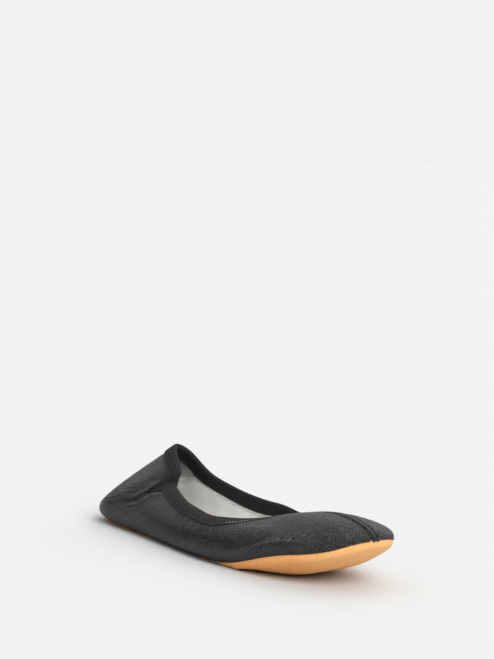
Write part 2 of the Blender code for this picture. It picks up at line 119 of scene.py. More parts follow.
# Smaller folds, laid on the leather nearest to their points. INNER_FOLDS are deep enough to show inside.
# Beyond FOLD_REACH spreads outside the box round its points, a fold does nothing.
SMALL_FOLDS = {
    "heel_valley_lat": (
        (66.5, -20.0, 30.2, 0.0, 1.3), (62.5, -19.0, 28.6, 0.7, 1.4), (57.0, -17.4, 26.8, 0.8, 1.4),
        (52.0, -17.4, 24.8, 0.7, 1.3), (48.0, -18.9, 22.4, 0.6, 1.3), (42.8, -20.6, 19.8, 0.6, 1.3),
        (36.4, -22.6, 17.8, 0.4, 1.4), (28.0, -24.0, 15.8, 0.0, 1.5),
    ),
    "heel_ridge_lat": (
        (68.0, -22.2, 29.0, -0.1, 1.2), (64.0, -21.5, 27.0, -0.9, 1.2), (57.5, -19.8, 24.6, -1.4, 1.2),
        (51.5, -19.4, 22.0, -1.5, 1.2), (47.5, -20.2, 20.2, -1.3, 1.2), (43.5, -21.4, 18.0, -1.1, 1.2),
        (36.9, -23.2, 15.7, -0.8, 1.3), (32.8, -24.1, 14.4, -0.5, 1.4), (25.1, -25.2, 12.4, 0.0, 1.6),
    ),
    "upper_ridge_lat": (
        (57.5, -14.2, 34.0, 0.0, 1.1), (55.5, -15.2, 32.4, -0.9, 1.2), (52.0, -16.8, 29.8, -1.2, 1.2),
        (48.0, -18.3, 26.4, -1.2, 1.2), (43.4, -20.0, 23.2, -1.0, 1.2), (39.0, -21.5, 20.8, -0.7, 1.3),
        (34.6, -22.9, 19.2, -0.4, 1.4), (22.6, -23.4, 17.0, 0.0, 1.5),
    ),
    "upper_crease_lat": (
        (57.0, -13.4, 36.5, 0.0, 1.4), (51.0, -15.4, 32.8, 0.3, 1.4), (43.0, -18.6, 26.6, 0.3, 1.5),
        (36.5, -20.8, 24.0, 0.2, 1.5), (27.0, -22.3, 20.6, 0.0, 1.6),
    ),
    "hood_dent_lat": (
        (50.0, -10.0, 43.0, 0.0, 4.5), (38.0, -14.0, 35.0, 0.6, 5.5), (25.0, -18.0, 26.5, 0.5, 6.0),
        (14.0, -19.0, 19.0, 0.0, 6.0),
    ),
    "hood_dent_med": (
        (50.0, 11.0, 42.0, 0.0, 5.0), (36.0, 16.0, 32.0, 0.6, 6.0), (22.0, 19.0, 24.0, 0.4, 6.0),
        (12.0, 18.0, 18.0, 0.0, 6.0),
    ),
    "heel_ridge_med": (
        (60.0, 24.5, 25.0, 0.0, 1.6), (50.0, 25.5, 20.5, -0.8, 1.6), (38.0, 25.5, 16.0, -0.6, 1.7),
        (24.0, 24.5, 12.5, 0.0, 1.8),
    ),
    "upper_crease_med": (
        (58.0, 20.5, 32.0, 0.0, 1.4), (48.0, 22.0, 28.0, 0.6, 1.4), (36.0, 22.5, 22.5, 0.5, 1.5),
        (22.0, 22.0, 18.0, 0.0, 1.6),
    ),
    "waist_crease_med": (
        (60.0, 27.0, 14.0, 0.0, 2.5), (76.0, 28.0, 15.5, 0.5, 2.5), (94.0, 27.5, 15.0, 0.6, 2.5),
        (112.0, 29.0, 13.5, 0.0, 2.5),
    ),
    "side_trough_more_lat": (
        (34.0, -24.2, 12.5, 0.0, 3.0), (52.0, -27.4, 14.6, 1.3, 3.2), (73.0, -30.2, 11.4, 1.7, 3.4),
        (91.0, -32.8, 10.4, 1.9, 3.4), (113.0, -35.7, 11.4, 2.2, 3.4), (127.0, -35.1, 12.0, 2.3, 3.4),
        (139.0, -34.3, 13.4, 2.2, 3.3), (152.0, -33.4, 17.6, 1.8, 3.1), (162.5, -31.4, 22.6, 1.2, 3.0),
        (169.0, -27.5, 26.8, 0.0, 3.0),
    ),
    "side_roll_lat": (
        (35.0, -26.0, 9.0, 0.0, 3.0), (53.0, -28.2, 8.2, -0.5, 3.0), (70.0, -29.8, 6.2, -0.7, 3.0),
        (88.0, -31.8, 5.4, -0.8, 3.0), (113.5, -35.4, 5.8, -0.9, 3.0), (134.5, -35.4, 7.2, -0.9, 3.0),
        (153.0, -34.3, 13.2, -0.9, 2.8), (164.0, -32.7, 18.6, -1.1, 2.4), (174.0, -30.2, 21.6, -1.0, 2.3),
        (184.0, -27.2, 23.4, -0.8, 2.2), (194.0, -22.6, 25.2, -0.5, 2.2),
    ),
    "heel_fill_lat": (
        (64.0, -15.0, 32.0, 0.0, 3.6), (57.0, -18.0, 28.0, -1.6, 3.6), (47.0, -20.5, 22.0, -1.4, 3.6),
        (36.0, -23.0, 17.5, -0.8, 3.6), (26.0, -24.0, 14.5, 0.0, 3.6),
    ),
    "heel_streak_a_lat": (
        (9.0, -16.8, 15.6, 0.0, 0.7), (22.0, -21.7, 20.0, -0.5, 0.7), (33.7, -22.7, 23.2, -0.4, 0.7),
        (43.3, -20.9, 26.1, 0.0, 0.7),
    ),
    "heel_streak_b_lat": (
        (7.4, -17.7, 13.3, -0.2, 0.7), (16.3, -21.8, 16.5, -0.6, 0.7), (26.4, -23.6, 19.0, -0.5, 0.7),
        (35.3, -23.0, 21.7, 0.0, 0.7),
    ),
    "heel_streak_c_lat": (
        (6.8, -18.8, 11.3, -0.2, 0.7), (15.2, -22.9, 14.2, -0.6, 0.7), (23.9, -24.4, 16.0, -0.5, 0.7),
        (31.7, -23.6, 18.0, 0.0, 0.7),
    ),
    "heel_streak_d_lat": (
        (8.7, -21.0, 10.2, -0.2, 0.7), (15.9, -24.1, 12.4, -0.6, 0.7), (23.3, -24.9, 14.0, -0.4, 0.7),
        (29.9, -24.2, 15.2, 0.0, 0.7),
    ),
    "hood_streak_lat": (
        (13.2, -13.8, 20.9, 0.0, 0.8), (23.7, -17.1, 25.2, -0.4, 0.8), (34.0, -18.8, 28.5, -0.4, 0.8),
        (43.3, -18.7, 31.0, 0.0, 0.8),
    ),
    "side_swell_lat": (
        (60.0, -25.6, 22.0, 0.0, 3.4), (72.0, -27.8, 20.6, -0.5, 3.4), (91.5, -32.5, 17.0, -0.6, 3.4),
        (112.5, -35.6, 17.2, -0.6, 3.2), (125.0, -33.9, 18.2, -0.6, 3.2), (139.0, -32.9, 20.2, -0.6, 3.2),
        (151.5, -30.2, 24.2, -0.5, 3.2), (160.0, -26.8, 27.0, 0.0, 3.2),
    ),
    "trough_line_lat": (
        (70.0, -30.0, 10.8, 0.0, 0.9), (88.0, -32.2, 9.8, 0.25, 0.9), (100.6, -34.3, 10.0, 0.3, 0.9),
        (116.3, -35.9, 10.2, 0.35, 0.9), (130.0, -35.3, 10.8, 0.4, 0.9), (142.6, -34.4, 13.3, 0.5, 0.9),
        (155.2, -33.2, 18.4, 0.6, 0.9), (163.1, -31.8, 21.6, 0.5, 0.9), (171.0, -29.8, 24.2, 0.0, 0.9),
    ),
    "ball_rim_lat": (
        (146.0, -34.5, 12.2, 0.0, 1.0), (157.6, -33.5, 16.9, -0.5, 1.0), (165.4, -32.4, 19.5, -0.6, 1.0),
        (172.8, -30.7, 22.0, -0.6, 1.0), (181.3, -28.2, 23.5, -0.5, 1.0), (189.1, -25.4, 23.9, -0.4, 1.0),
        (201.6, -18.1, 25.1, 0.0, 1.0),
    ),
    "toe_flat_med": (
        (180.0, 5.0, 36.6, 0.0, 8.0), (185.5, 13.9, 35.9, 1.2, 9.0), (188.5, 20.0, 34.8, 1.4, 9.0),
        (195.0, 22.0, 34.2, 1.4, 8.0), (202.0, 22.3, 33.0, 0.8, 7.0), (208.0, 20.5, 31.5, 0.0, 6.0),
    ),
    "throat_crease_lat": (
        (139.0, -26.0, 24.5, 0.0, 1.6), (148.0, -25.0, 27.0, 0.35, 1.6), (158.0, -24.0, 28.5, 0.3, 1.8),
        (170.0, -22.0, 30.5, 0.0, 2.0),
    ),
    "throat_crease_med": (
        (134.0, 25.0, 26.0, 0.0, 1.6), (144.0, 26.0, 27.5, 0.4, 1.6), (156.0, 26.5, 28.0, 0.3, 1.8),
        (168.0, 26.0, 28.0, 0.0, 2.0),
    ),
}
INNER_FOLDS = ("heel_valley_lat", "side_trough_more_lat", "toe_flat_med")
FOLD_REACH = 3.0

# Folds of the lining under the hood, on the inner side of the foot: it stands inward by depth.
LINING_FOLDS = {
    "swell": (
        (66.0, 19.5, 28.0, 0.4, 3.4), (55.0, 20.2, 29.4, 1.8, 3.2), (48.0, 21.6, 28.4, 2.4, 3.0),
        (42.0, 22.5, 27.0, 2.8, 3.0), (34.0, 22.6, 25.2, 2.6, 3.0), (24.0, 20.6, 22.6, 1.8, 3.2),
        (14.0, 16.5, 19.0, 0.4, 3.6),
    ),
    "tuck": (
        (60.0, 19.0, 33.4, 0.0, 1.3), (50.0, 20.6, 32.6, -1.3, 1.5), (43.0, 21.6, 31.4, -1.6, 1.6),
        (35.0, 21.4, 29.6, -1.5, 1.6), (26.0, 19.6, 26.6, -0.9, 1.6), (16.0, 16.0, 22.4, 0.0, 1.6),
    ),
}

# Bands with fine wrinkles in the leather's grain. Here depth is their strength, from 0 to 1.
WRINKLE_BANDS = {
    "ball_wrinkles": (
        (150.0, -34.0, 15.5, 0.3, 4.0), (160.0, -32.8, 19.0, 1.0, 4.0), (172.0, -30.5, 23.0, 1.0, 4.5),
        (186.0, -25.9, 25.6, 0.8, 4.5), (203.0, -16.2, 27.7, 0.3, 4.0),
    ),
    "side_wrinkles": (
        (66.0, -27.5, 16.0, 0.2, 6.0), (84.8, -30.8, 16.5, 0.9, 6.0), (106.0, -34.4, 16.5, 1.0, 6.0),
        (126.0, -33.6, 17.5, 1.0, 6.0), (150.0, -30.5, 23.0, 0.7, 6.0),
    ),
    "heel_wrinkles": (
        (6.0, -14.0, 12.5, 0.7, 7.0), (20.0, -21.0, 17.0, 1.0, 8.0), (36.0, -21.0, 22.0, 0.8, 7.0),
        (52.0, -18.5, 26.0, 0.3, 6.0),
    ),
}

# The way the wrinkles of a band run and the way across them, how far apart, long and deep they are.
Wrinkles = namedtuple("Wrinkles", "band along across pitch length depth")
WRINKLES = (
    Wrinkles("ball_wrinkles", (0.13, 0.59, 0.79), (0.99, -0.02, -0.14), 1.5, 8.0, 2.2),
    Wrinkles("side_wrinkles", (0.25, 0.20, 0.95), (0.96, 0.0, -0.27), 1.6, 14.0, 0.75),
    Wrinkles("heel_wrinkles", (0.95, -0.20, 0.24), (-0.24, 0.0, 0.97), 1.5, 14.0, 1.5),
)

# Short creases come in sets: count of them, spaced from the first to the last place of their lower end, and
# the run from there to the upper end. All are in millimetres, and a negative depth makes ridges.
CreaseSet = namedtuple("CreaseSet", "count first last run depth spread")
CREASE_SETS = {
    "fan_rear_lat": CreaseSet(13, (80.0, -32.0, 10.0), (113.0, -35.0, 12.0), (7.0, 0.3, 10.0), 0.42, 0.8),
    "fan_front_lat": CreaseSet(8, (116.0, -35.0, 13.0), (136.0, -34.5, 14.5), (2.5, 0.8, 8.0), 0.36, 0.8),
    "fan_med": CreaseSet(10, (70.0, 26.5, 12.0), (120.0, 28.0, 13.0), (2.5, 0.0, 9.0), 0.3, 0.9),
    "ball_lat": CreaseSet(11, (156.5, -33.6, 16.0), (180.0, -29.0, 21.8), (2.6, 2.2, 4.8), 0.5, 0.6),
    "ball_ridges_lat": CreaseSet(11, (157.6, -33.4, 16.4), (181.2, -28.7, 22.2), (2.6, 2.2, 4.6), -0.7, 0.55),
    "ball_med": CreaseSet(7, (160.0, 34.4, 15.8), (178.0, 34.4, 18.0), (2.5, -1.6, 5.0), 0.45, 0.7),
    "heel_lat": CreaseSet(9, (8.0, -16.0, 10.5), (16.0, -17.5, 25.0), (22.0, -4.0, 3.0), 0.5, 0.75),
    "heel_med": CreaseSet(6, (9.0, 17.0, 11.5), (16.0, 17.5, 24.0), (22.0, 4.5, 2.5), 0.3, 0.8),
    "throat_lat": CreaseSet(6, (142.0, -27.0, 24.0), (158.0, -20.0, 28.5), (6.0, 3.5, 2.4), 0.22, 0.8),
    "throat_med": CreaseSet(6, (138.0, 27.0, 25.0), (156.0, 20.0, 29.0), (6.0, -3.5, 2.0), 0.22, 0.8),
}

# How the creases of a set differ, and the shares of run, depth and bow at the points along each.
CREASE_SEED = 7
CREASE_SHIFT = 0.8
CREASE_TURN = 0.7
CREASE_BOW = 0.5
CREASE_LENGTHS = (0.7, 1.2)
CREASE_DEPTHS = (0.5, 1.3)
CREASE_PROFILE = ((0.0, 0.0, 0.0), (0.25, 1.0, 1.0), (0.7, 0.8, 1.0), (1.0, 0.0, 0.0))

# Unevenness: how far it stands up and down, the size of its lumps in millimetres, and the seed.
Lumps = namedtuple("Lumps", "height size seed")
LEATHER_SWELLS = Lumps(0.12, 9.0, 3)
LEATHER_DIMPLES = Lumps(0.05, 3.5, 5)
GATHER_WANDER = Lumps(0.9, 6.0, 11)
LINING_SLACK = Lumps(0.2, 14.0, 21)
SOLE_CRUMB = Lumps(0.08, 1.6, 31)
SIDE_CRUMB = Lumps(0.07, 1.7, 33)
SIDE_SWELLS = Lumps(0.042, 6.0, 35)
SOCK_WEAR = Lumps(0.2, 11.0, 41)
LATTICE = 32

# Leather: thinner under the tape, worn low down and most at the toe, paler on narrow ridges, where it is
# partly rubbed and partly a painted highlight.
LEATHER = 1.3
SKIVED_LEATHER = 0.8
SKIVE_RUN = 4.0
EDGE_SETBACK = 2.0
WEAR_HEIGHT = 9.0
WEAR_X = (176.0, 206.0)
WEAR_LEAST = 0.35
RUB_AND_HIGHLIGHT_SPREAD = 2.0
RUB_AND_HIGHLIGHT_FULL = 1.1

# The raised twin seam over the toe, with a groove along its middle and one beside each strip.
SEAM_HALF = 2.2
SEAM_GROOVE = 0.42
SEAM_SIDE = 0.42
SEAM_SIDE_AWAY = 1.6 * SEAM_SIDE
SEAM_HEIGHT = 0.75
SEAM_SINK = 0.35
SEAM_FADE = (0.5, 0.84)
SEAM_SAMPLES = 60

# The gathers where the leather is drawn in round the toe. They end a little way from the seam.
GATHER_PITCH = 1.9
GATHER_DEPTH = 0.12
GATHER_DEPTH_INSIDE = 0.08
GATHER_RUN = 3.0
GATHER_X = (186.0, 200.0)
GATHER_CLEAR = (1.0, 3.0)

# The leather's lower edge, which hangs a little over the sole and is nicked by the sewing round the toe.
LIP_OUT = 0.3
LIP_DROP = 0.35
LIP_CLEAR = 0.3
NICK_PITCH = 1.5
NICK_DEPTH = 0.6
NICK_X = (172.0, 188.0)

# The elastic tape: folded over the leather's edge, pinched where the heel sags over it, deeper inside the
# hood and drawn flat at the throat. It has ribs along it, and a step where its ends lap at the slack heel.
# Its back keeps one ring in every few.
ELASTIC = 0.9
ELASTIC_DEPTH = 9.4
INNER_ELASTIC_DEPTH = 10.2
HOOD_ELASTIC_MORE = 7.0
HOOD_SPREAD = 0.035
PINCHED_DEPTH = 6.0
PINCH_SPREAD = 0.02
GAP = 0.35
TAPE_BACK = 0.05
TAPE_EDGE = 0.12
TAPE_EDGE_RUN = 0.45
TAPE_PROUD = 0.82
THROAT_PROUD = 0.45
THROAT_X = (118.0, 136.0)
RIB_PITCH = 1.35
RIB_DEPTH = 0.22
RIB_SHARPNESS = 1.5
CROSS_THREAD_PITCH = 0.55
LAP_STEP = 0.8
LAP_RUN = 0.5
LAP_FADE = 22.0
BACK_LEAF_STEP = 4
BACK_FOLD_STEP = 3
FOLD_HALF = np.pi * (SKIVED_LEATHER / 2 + GAP + ELASTIC) / 2

# Thread: the stitches along the tape, and the pale ones on the outer side of the throat, pale thread that is
# partly a painted glint of light.
STITCH_LENGTH = 1.7
STITCH_PITCH = 2.3
STITCH_INSET = 1.1
STITCH_ARCH = 1.5
STITCH_SINK = 0.8
STITCH_TAPER = 0.6
STITCH_SIDES = 6
STITCH_RINGS = 5
STITCH_SAMPLES = 2400
STITCH_ROWS = (0.3, 0.0, -0.3)
THREAD_RADIUS = 0.22
PALE_LENGTH = 0.75
PALE_PITCH = 1.75
PALE_GLINT_X = (129.0, 141.0)

# The lining: it starts above the sole's edge, ends under the tape's inner leaf and is thin there.
LINING = 0.4
LINING_GAP = 0.1
LINING_START = 0.4
LINING_TUCK = 2.5
LINING_TUCK_START = 0.6
TUCKED_LINING = 0.2
TUCKED_GAP = 0.05

# The plain weave of the lining and the sock, and how dark it is between the threads.
WEAVE_PITCH = 1.5
WEAVE_SHADE = 0.62

# Where the sole is cupped, the lining's lower edge turns in over the sock, this share of the way to the edge.
TURN_SHARE = 0.94
TURN_RISE = 0.06
TURN_THICKNESS = 0.25
TURN_BLEND = 1.5
TURN_DROP = 0.2
TURN_WIDTH = 3.0

# Above this line, heights over x, the lining of the heel under the hood is darkened with painted shade.
PAINTED_SHADE_EDGE_X = (0.0, 16.0, 26.0, 33.0, 38.0, 43.0, 49.0, 56.0, 62.0)
PAINTED_SHADE_EDGE_Z = (18.0, 22.0, 26.0, 28.4, 29.0, 30.2, 31.4, 32.6, 33.4)
PAINTED_SHADE_BLEND = 0.9
PAINTED_SHADE_FADE = 12.0
PAINTED_SHADE_LEAST = 0.6

# Sole and sock. Shares are of the way from the sole's spine to its edge. The sole's side leaves along its
# underside, by the share SIDE_BELLY of its own size, and comes upright to the rim.
SOLE_THICKNESS = 2.6
SOLE_EDGE = 4.4
SOLE_EDGE_SHARE = 0.95
SOLE_FLAT_SHARE = 0.35
SPINE_HEEL = 22.0
SPINE_TOE = 186.0
SOLE_UNDER_SHARES = (0.02, 0.93)
SOLE_OVER_SHARES = (0.93, 0.7, SOLE_FLAT_SHARE, 0.05)
SIDE_BEFORE_SHARE = 0.90
SIDE_BELLY = 0.45
SIDE_UPRIGHT = 0.35
RIM_DROP = 0.12
SOCK_THICKNESS = 1.0
SOCK_GAP = 0.45
SOCK_LOW = SOLE_THICKNESS + SOCK_GAP
SOCK_HIGH = SOCK_LOW + SOCK_THICKNESS
SOCK_SHARE = 0.965
SOCK_UNDER_SHARES = (0.05, SOLE_FLAT_SHARE, 0.7, SOCK_SHARE)
SOCK_MIDDLE_SHARE = 0.03
SOCK_WEAR_POWER = 0.3
SOCK_EDGE_SHARE = 0.93
SOCK_EDGE_DROP = 0.35

# Fineness of the meshes. The leather's columns are closer round the toe and at the slack heel.
LEATHER_COLUMNS = 740
LEATHER_ROWS = 86
LEATHER_BAND_ROWS = 5
LEATHER_INNER_ROWS = 22
ROW_BIAS = 1.12
TOE_MORE = 1.5
TOE_MORE_X = (180.0, 196.0)
HEEL_MORE = 0.7
HEEL_MORE_X = (10.0, 70.0)
SEAM_ZONE = 6.5
SEAM_COLUMN = 0.22
TAPE_COLUMNS = 640
TAPE_LEAF_ROWS = 38
TAPE_FOLD_ROWS = 13
LINING_COLUMNS = 420
LINING_ROWS = 46
SOLE_COLUMNS = 560
SOLE_UNDER_RINGS = 34
SOLE_SIDE_RINGS = 14
SOCK_COLUMNS = 420
SOCK_RINGS = 20
ARC_SAMPLES = 80
LINE_STEPS = 6
OUTLINE_SAMPLES = 4000
SMALL_STEP = 1e-4
AROUND_STEP = 4e-4
UPWARD_STEP = 2e-3

# Colours of the finishes: linear red, green and blue.
LEATHER_DEEP = (0.0120, 0.0115, 0.0136)
LEATHER_SOFT = (0.0182, 0.0175, 0.0202)
LEATHER_WORN = (0.040, 0.036, 0.034)
# Paler leather on narrow ridges: partly rubbed, partly a painted highlight.
LEATHER_RUB_AND_HIGHLIGHT = (0.085, 0.082, 0.080)
# Painted shade down in the tape's grooves between its ribs.
TAPE_PAINTED_GROOVE_SHADE = (0.0065, 0.0058, 0.0060)
TAPE_RIB = (0.0360, 0.0315, 0.0325)
TAPE_FUZZ = (0.050, 0.043, 0.042)
LINING_PALE = (0.97, 0.97, 0.95)
LINING_DULL = (0.85, 0.835, 0.79)
# Painted shade on the lining under the heel's hood.
LINING_PAINTED_SHADE = (0.060, 0.059, 0.056)
SOCK_PALE = (0.92, 0.91, 0.88)
SOCK_DULL = (0.80, 0.77, 0.71)
CREPE_HONEY = (0.85, 0.335, 0.088)
CREPE_LIGHT = (0.95, 0.425, 0.140)
# Painted light on the crepe towards the toe.
CREPE_TOE_PAINTED_LIGHT = (0.95, 0.515, 0.205)
CREPE_CRUMB = (0.93, 0.60, 0.28)
CREPE_PIT = (0.50, 0.19, 0.045)
# Darker near the floor.
CREPE_LOW_DARK = (0.20, 0.085, 0.035)
BLACK_THREAD = ((0.012, 0.011, 0.011), (0.05, 0.048, 0.046))
# Pale thread, partly a painted glint of light on the stitches.
PALE_GLINT_THREAD = ((0.42, 0.40, 0.37), (0.74, 0.72, 0.69))

# Where the crepe is paler towards the toe, a painted light, and where it is darker near the floor, in metres
# of the frame.
CREPE_PAINTED_LIGHT_X = (0.052, 0.106)
CREPE_LOW_DARK_Z = (0.0035, 0.0)

# Stage and light. A light's turn is its bearing from +X towards +Y, in degrees.
FLOOR_SIDE = 60.0
FLOOR_TONE = (0.560, 0.570, 0.565)
BACKGROUND = (0.874, 0.888, 0.882)
FILL_HEIGHTS = (0.05, 0.85)
FILL_TONES = (0.27, 1.16)
BACKDROP_WAY = (-0.40, 0.89, 0.20)
BACKDROP_SHARES = (0.60, 1.30)
Sun = namedtuple("Sun", "name turn rise strength spread")
SUNS = (
    Sun("key_light", -14.0, 40.0, 2.35, 40.0),
    Sun("back_light", 105.0, 44.0, 0.74, 50.0),
)

# The photograph's view: angles in degrees, lengths in millimetres of the shoe's own frame, places in pixels.
PHOTO_SIZE = (494, 659)
VIEW_TURN = 46.42
VIEW_RISE = 11.33
VIEW_ROLL = 4.08
VIEW_DISTANCE = 1090.9
VIEW_AIM = (107.0, 0.0, 22.9)
VIEW_AIM_PIXEL = (235.6, 512.1)
VIEW_FOCAL_PIXELS = 1870.2
SENSOR = 36.0
CLIP_START = 0.01


# Small helpers.


def ramp(x, low, high):
    """0 below low, 1 above high and smooth between."""
    share = np.clip((x - low) / (high - low), 0.0, 1.0)
    return share * share * (3.0 - 2.0 * share)


def bell(x, spread):
    """1 at 0, and down to nothing a few spreads away."""
    return np.exp(-((x / spread) ** 2))


def mix(first, last, share):
    """A value between two."""
    return first + (last - first) * share


def unit(vectors):
    """The vectors with length 1."""
    return vectors / np.linalg.norm(vectors, axis=-1, keepdims=True)


def bezier(start, low, high, end, t):
    """The curve from start to end that leaves towards low and comes from high, at the shares t."""
    s = 1.0 - t
    return s**3 * start + 3 * t * s**2 * low + 3 * t**2 * s * high + t**3 * end


def lumps(points, kind):
    """Smooth unevenness of a kind at points."""
    lattice = np.random.default_rng(kind.seed).uniform(-1.0, 1.0, (LATTICE,) * 3)
    scaled = points / kind.size
    cell = np.floor(scaled).astype(int)
    part = scaled - cell
    part = part * part * (3.0 - 2.0 * part)
    total = np.zeros(points.shape[:-1])
    for corner in np.ndindex(2, 2, 2):
        weight = np.ones(points.shape[:-1])
        for axis in range(3):
            weight = weight * (part[..., axis] if corner[axis] else 1.0 - part[..., axis])
        index = (cell + np.array(corner)) % LATTICE
        total += weight * lattice[index[..., 0], index[..., 1], index[..., 2]]
    return kind.height * total


# The last: the same sections as the solids.


def closed_spline(marks, rows):
    """Second derivatives of the smooth closed curve through rows, at marks round a loop of length 1."""
    count = len(marks)
    steps = np.diff(np.append(marks, 1.0))
    matrix = np.zeros((count, count))
    right = np.zeros_like(rows)
    for here in range(count):
        before = (here - 1) % count
        after = (here + 1) % count
        matrix[here, before] += steps[before]
        matrix[here, here] += 2.0 * (steps[before] + steps[here])
        matrix[here, after] += steps[here]
        slope_after = (rows[after] - rows[here]) / steps[here]
        slope_before = (rows[here] - rows[before]) / steps[before]
        right[here] = 6.0 * (slope_after - slope_before)
    return np.linalg.solve(matrix, right)


# Columns of the rows that station_rows gives.
FOOT = slice(0, 3)
FLARE = slice(3, 4)
RISE = slice(4, 5)
TOP = slice(5, 8)
TOP_X = 5
REACH = slice(8, 9)
DROP = slice(9, 10)
LAG = slice(10, 11)


def station_rows():
    """The stations in millimetres: foot x, y, z, flare, rise, collar x, y, z, reach, drop, lag."""
    rows = []
    for s in STATIONS:
        foot = (s.along * LENGTH / 100, s.across * BALL_WIDTH / 100, s.edge)
        top = (s.top_along * LENGTH / 100, s.top_across * BALL_WIDTH / 100, s.top_height * HOOD_HEIGHT / 100)
        rows.append((*foot, s.flare, s.rise, *top, s.reach, s.drop, s.lag))
    return np.array(rows)


ROWS = station_rows()
CHORDS = np.linalg.norm(np.roll(ROWS[:, :2], -1, axis=0) - ROWS[:, :2], axis=1)
PERIMETER = CHORDS.sum()
MARKS = np.concatenate([[0.0], np.cumsum(CHORDS)[:-1]]) / PERIMETER
BENDS = closed_spline(MARKS, ROWS)


def station_mark(name):
    """A station's place round the shoe."""
    return MARKS[[s.name for s in STATIONS].index(name)]


TOE_MARK = station_mark("toe_tip")
HOOD_MARK = (station_mark("heel_corner_med") + 2 * station_mark("heel_side_med")) / 3
PINCH_MARK = (station_mark("heel_side_lat") + 2 * station_mark("fold_lat")) / 3


def read_loop(u):
    """The section's values at places u round the shoe, 0 to 1 from the heel by the outer side."""
    u = np.mod(u, 1.0)
    ends = np.append(MARKS, 1.0)
    here = np.clip(np.searchsorted(ends, u, side="right") - 1, 0, len(MARKS) - 1)
    after = (here + 1) % len(MARKS)
    step = (ends[here + 1] - ends[here])[..., None]
    b = (u - ends[here])[..., None] / step
    a = 1.0 - b
    bend = (a**3 - a) * BENDS[here] + (b**3 - b) * BENDS[after]
    return a * ROWS[here] + b * ROWS[after] + bend * step**2 / 6.0


def plan_normal(u):
    """Outward direction, level with the floor, of the sole's outline."""
    along = read_loop(u + SMALL_STEP)[..., :2] - read_loop(u - SMALL_STEP)[..., :2]
    return unit(np.stack([along[..., 1], -along[..., 0], np.zeros(along.shape[:-1])], axis=-1))


def smooth_wall(u, v):
    """The leather's outer face before folds: v is 0 on the sole's edge and 1 at the collar."""
    section = read_loop(u)
    out = plan_normal(u)
    foot = section[..., FOOT]
    top = section[..., TOP]
    low = foot + out * section[..., FLARE] + UP * section[..., RISE]
    high = top + out * section[..., REACH] - UP * section[..., DROP] - FORWARD * section[..., LAG]
    return bezier(foot, low, high, top, v[..., None])


def wall_normal(u, v):
    """Outward normal of the smooth wall."""
    around = smooth_wall(u + AROUND_STEP, v) - smooth_wall(u - AROUND_STEP, v)
    above = smooth_wall(u, np.clip(v + UPWARD_STEP, 0.0, 1.0))
    below = smooth_wall(u, np.clip(v - UPWARD_STEP, 0.0, 1.0))
    return unit(np.cross(around, above - below))


def sole_profile(x):
    """Height of the sole's underside along its middle: heel roll, flat, low arch, flat ball, toe spring."""
    heel = np.clip(HEEL_ROLL_END - x, 0.0, None) ** 2 / (2 * HEEL_ROLL_RADIUS)
    toe = np.clip(x - TOE_SPRING_START, 0.0, None) ** 2 / (2 * TOE_SPRING_RADIUS)
    share = np.clip((x - ARCH_START) / (ARCH_END - ARCH_START), 0.0, 1.0)
    return heel + toe + ARCH_HEIGHT * np.sin(np.pi * share) ** 2


def sole_underside(u, share):
    """Underside of the sole at a share of the way from its spine to its edge: flat, then cupped upward."""
    edge = read_loop(u)[..., FOOT]
    spine = np.clip(edge[..., 0], SPINE_HEEL, SPINE_TOE)
    x = spine + (edge[..., 0] - spine) * share
    cup = np.clip((share - SOLE_FLAT_SHARE) / (1.0 - SOLE_FLAT_SHARE), 0.0, 1.0) ** 2
    height = edge[..., 2] - sole_profile(edge[..., 0])
    thick = np.minimum(SOLE_EDGE, height * SOLE_EDGE_SHARE)
    z = sole_profile(x) + (height - thick) * cup
    return np.stack([x, edge[..., 1] * share, z], axis=-1)


# Fold lines.

# Columns of a fold line.
PLACE = slice(0, 3)
DEPTH = 3
SPREAD = 4


def smooth_line(points):
    """A finer line through points, with every column eased between them."""
    rows = np.array(points, float)
    padded = np.vstack([2 * rows[0] - rows[1], rows, 2 * rows[-1] - rows[-2]])
    made = []
    for p, q, r, s in zip(padded[:-3], padded[1:-2], padded[2:-1], padded[3:]):
        square = 2 * p - 5 * q + 4 * r - s
        cube = 3 * q - p - 3 * r + s
        for t in np.arange(LINE_STEPS) / LINE_STEPS:
            made.append(0.5 * (2 * q + (r - p) * t + square * t**2 + cube * t**3))
    made.append(rows[-1])
    return np.array(made)


def fold_depth(points, line):
    """How far the leather sinks at points because of one fold line."""
    margin = FOLD_REACH * line[:, SPREAD].max()
    low = line[:, PLACE].min(axis=0) - margin
    high = line[:, PLACE].max(axis=0) + margin
    near = np.all((points > low) & (points < high), axis=-1)
    chosen = points[near]
    best = np.full(len(chosen), np.inf)
    depth = np.zeros(len(chosen))
    spread = np.ones(len(chosen))
    for start, end in zip(line[:-1], line[1:]):
        run = end[PLACE] - start[PLACE]
        share = np.clip(((chosen - start[PLACE]) @ run) / (run @ run), 0.0, 1.0)
        away = np.linalg.norm(chosen - start[PLACE] - share[:, None] * run, axis=1)
        closer = away < best
        best = np.where(closer, away, best)
        depth = np.where(closer, mix(start[DEPTH], end[DEPTH], share), depth)
        spread = np.where(closer, mix(start[SPREAD], end[SPREAD], share), spread)
    sunk = np.zeros(points.shape[:-1])
    sunk[near] = depth * bell(best, spread)
    return sunk


def on_leather(line, base, normal):
    """A fold line moved along the leather's normals until it lies on it."""
    flat = base.reshape(-1, 3)
    facing = normal.reshape(-1, 3)
    moved = line.copy()
    for row in moved:
        nearest = np.argmin(((flat - row[PLACE]) ** 2).sum(axis=1))
        off = (row[PLACE] - flat[nearest]) @ facing[nearest]
        row[PLACE] -= off * facing[nearest]
    return moved


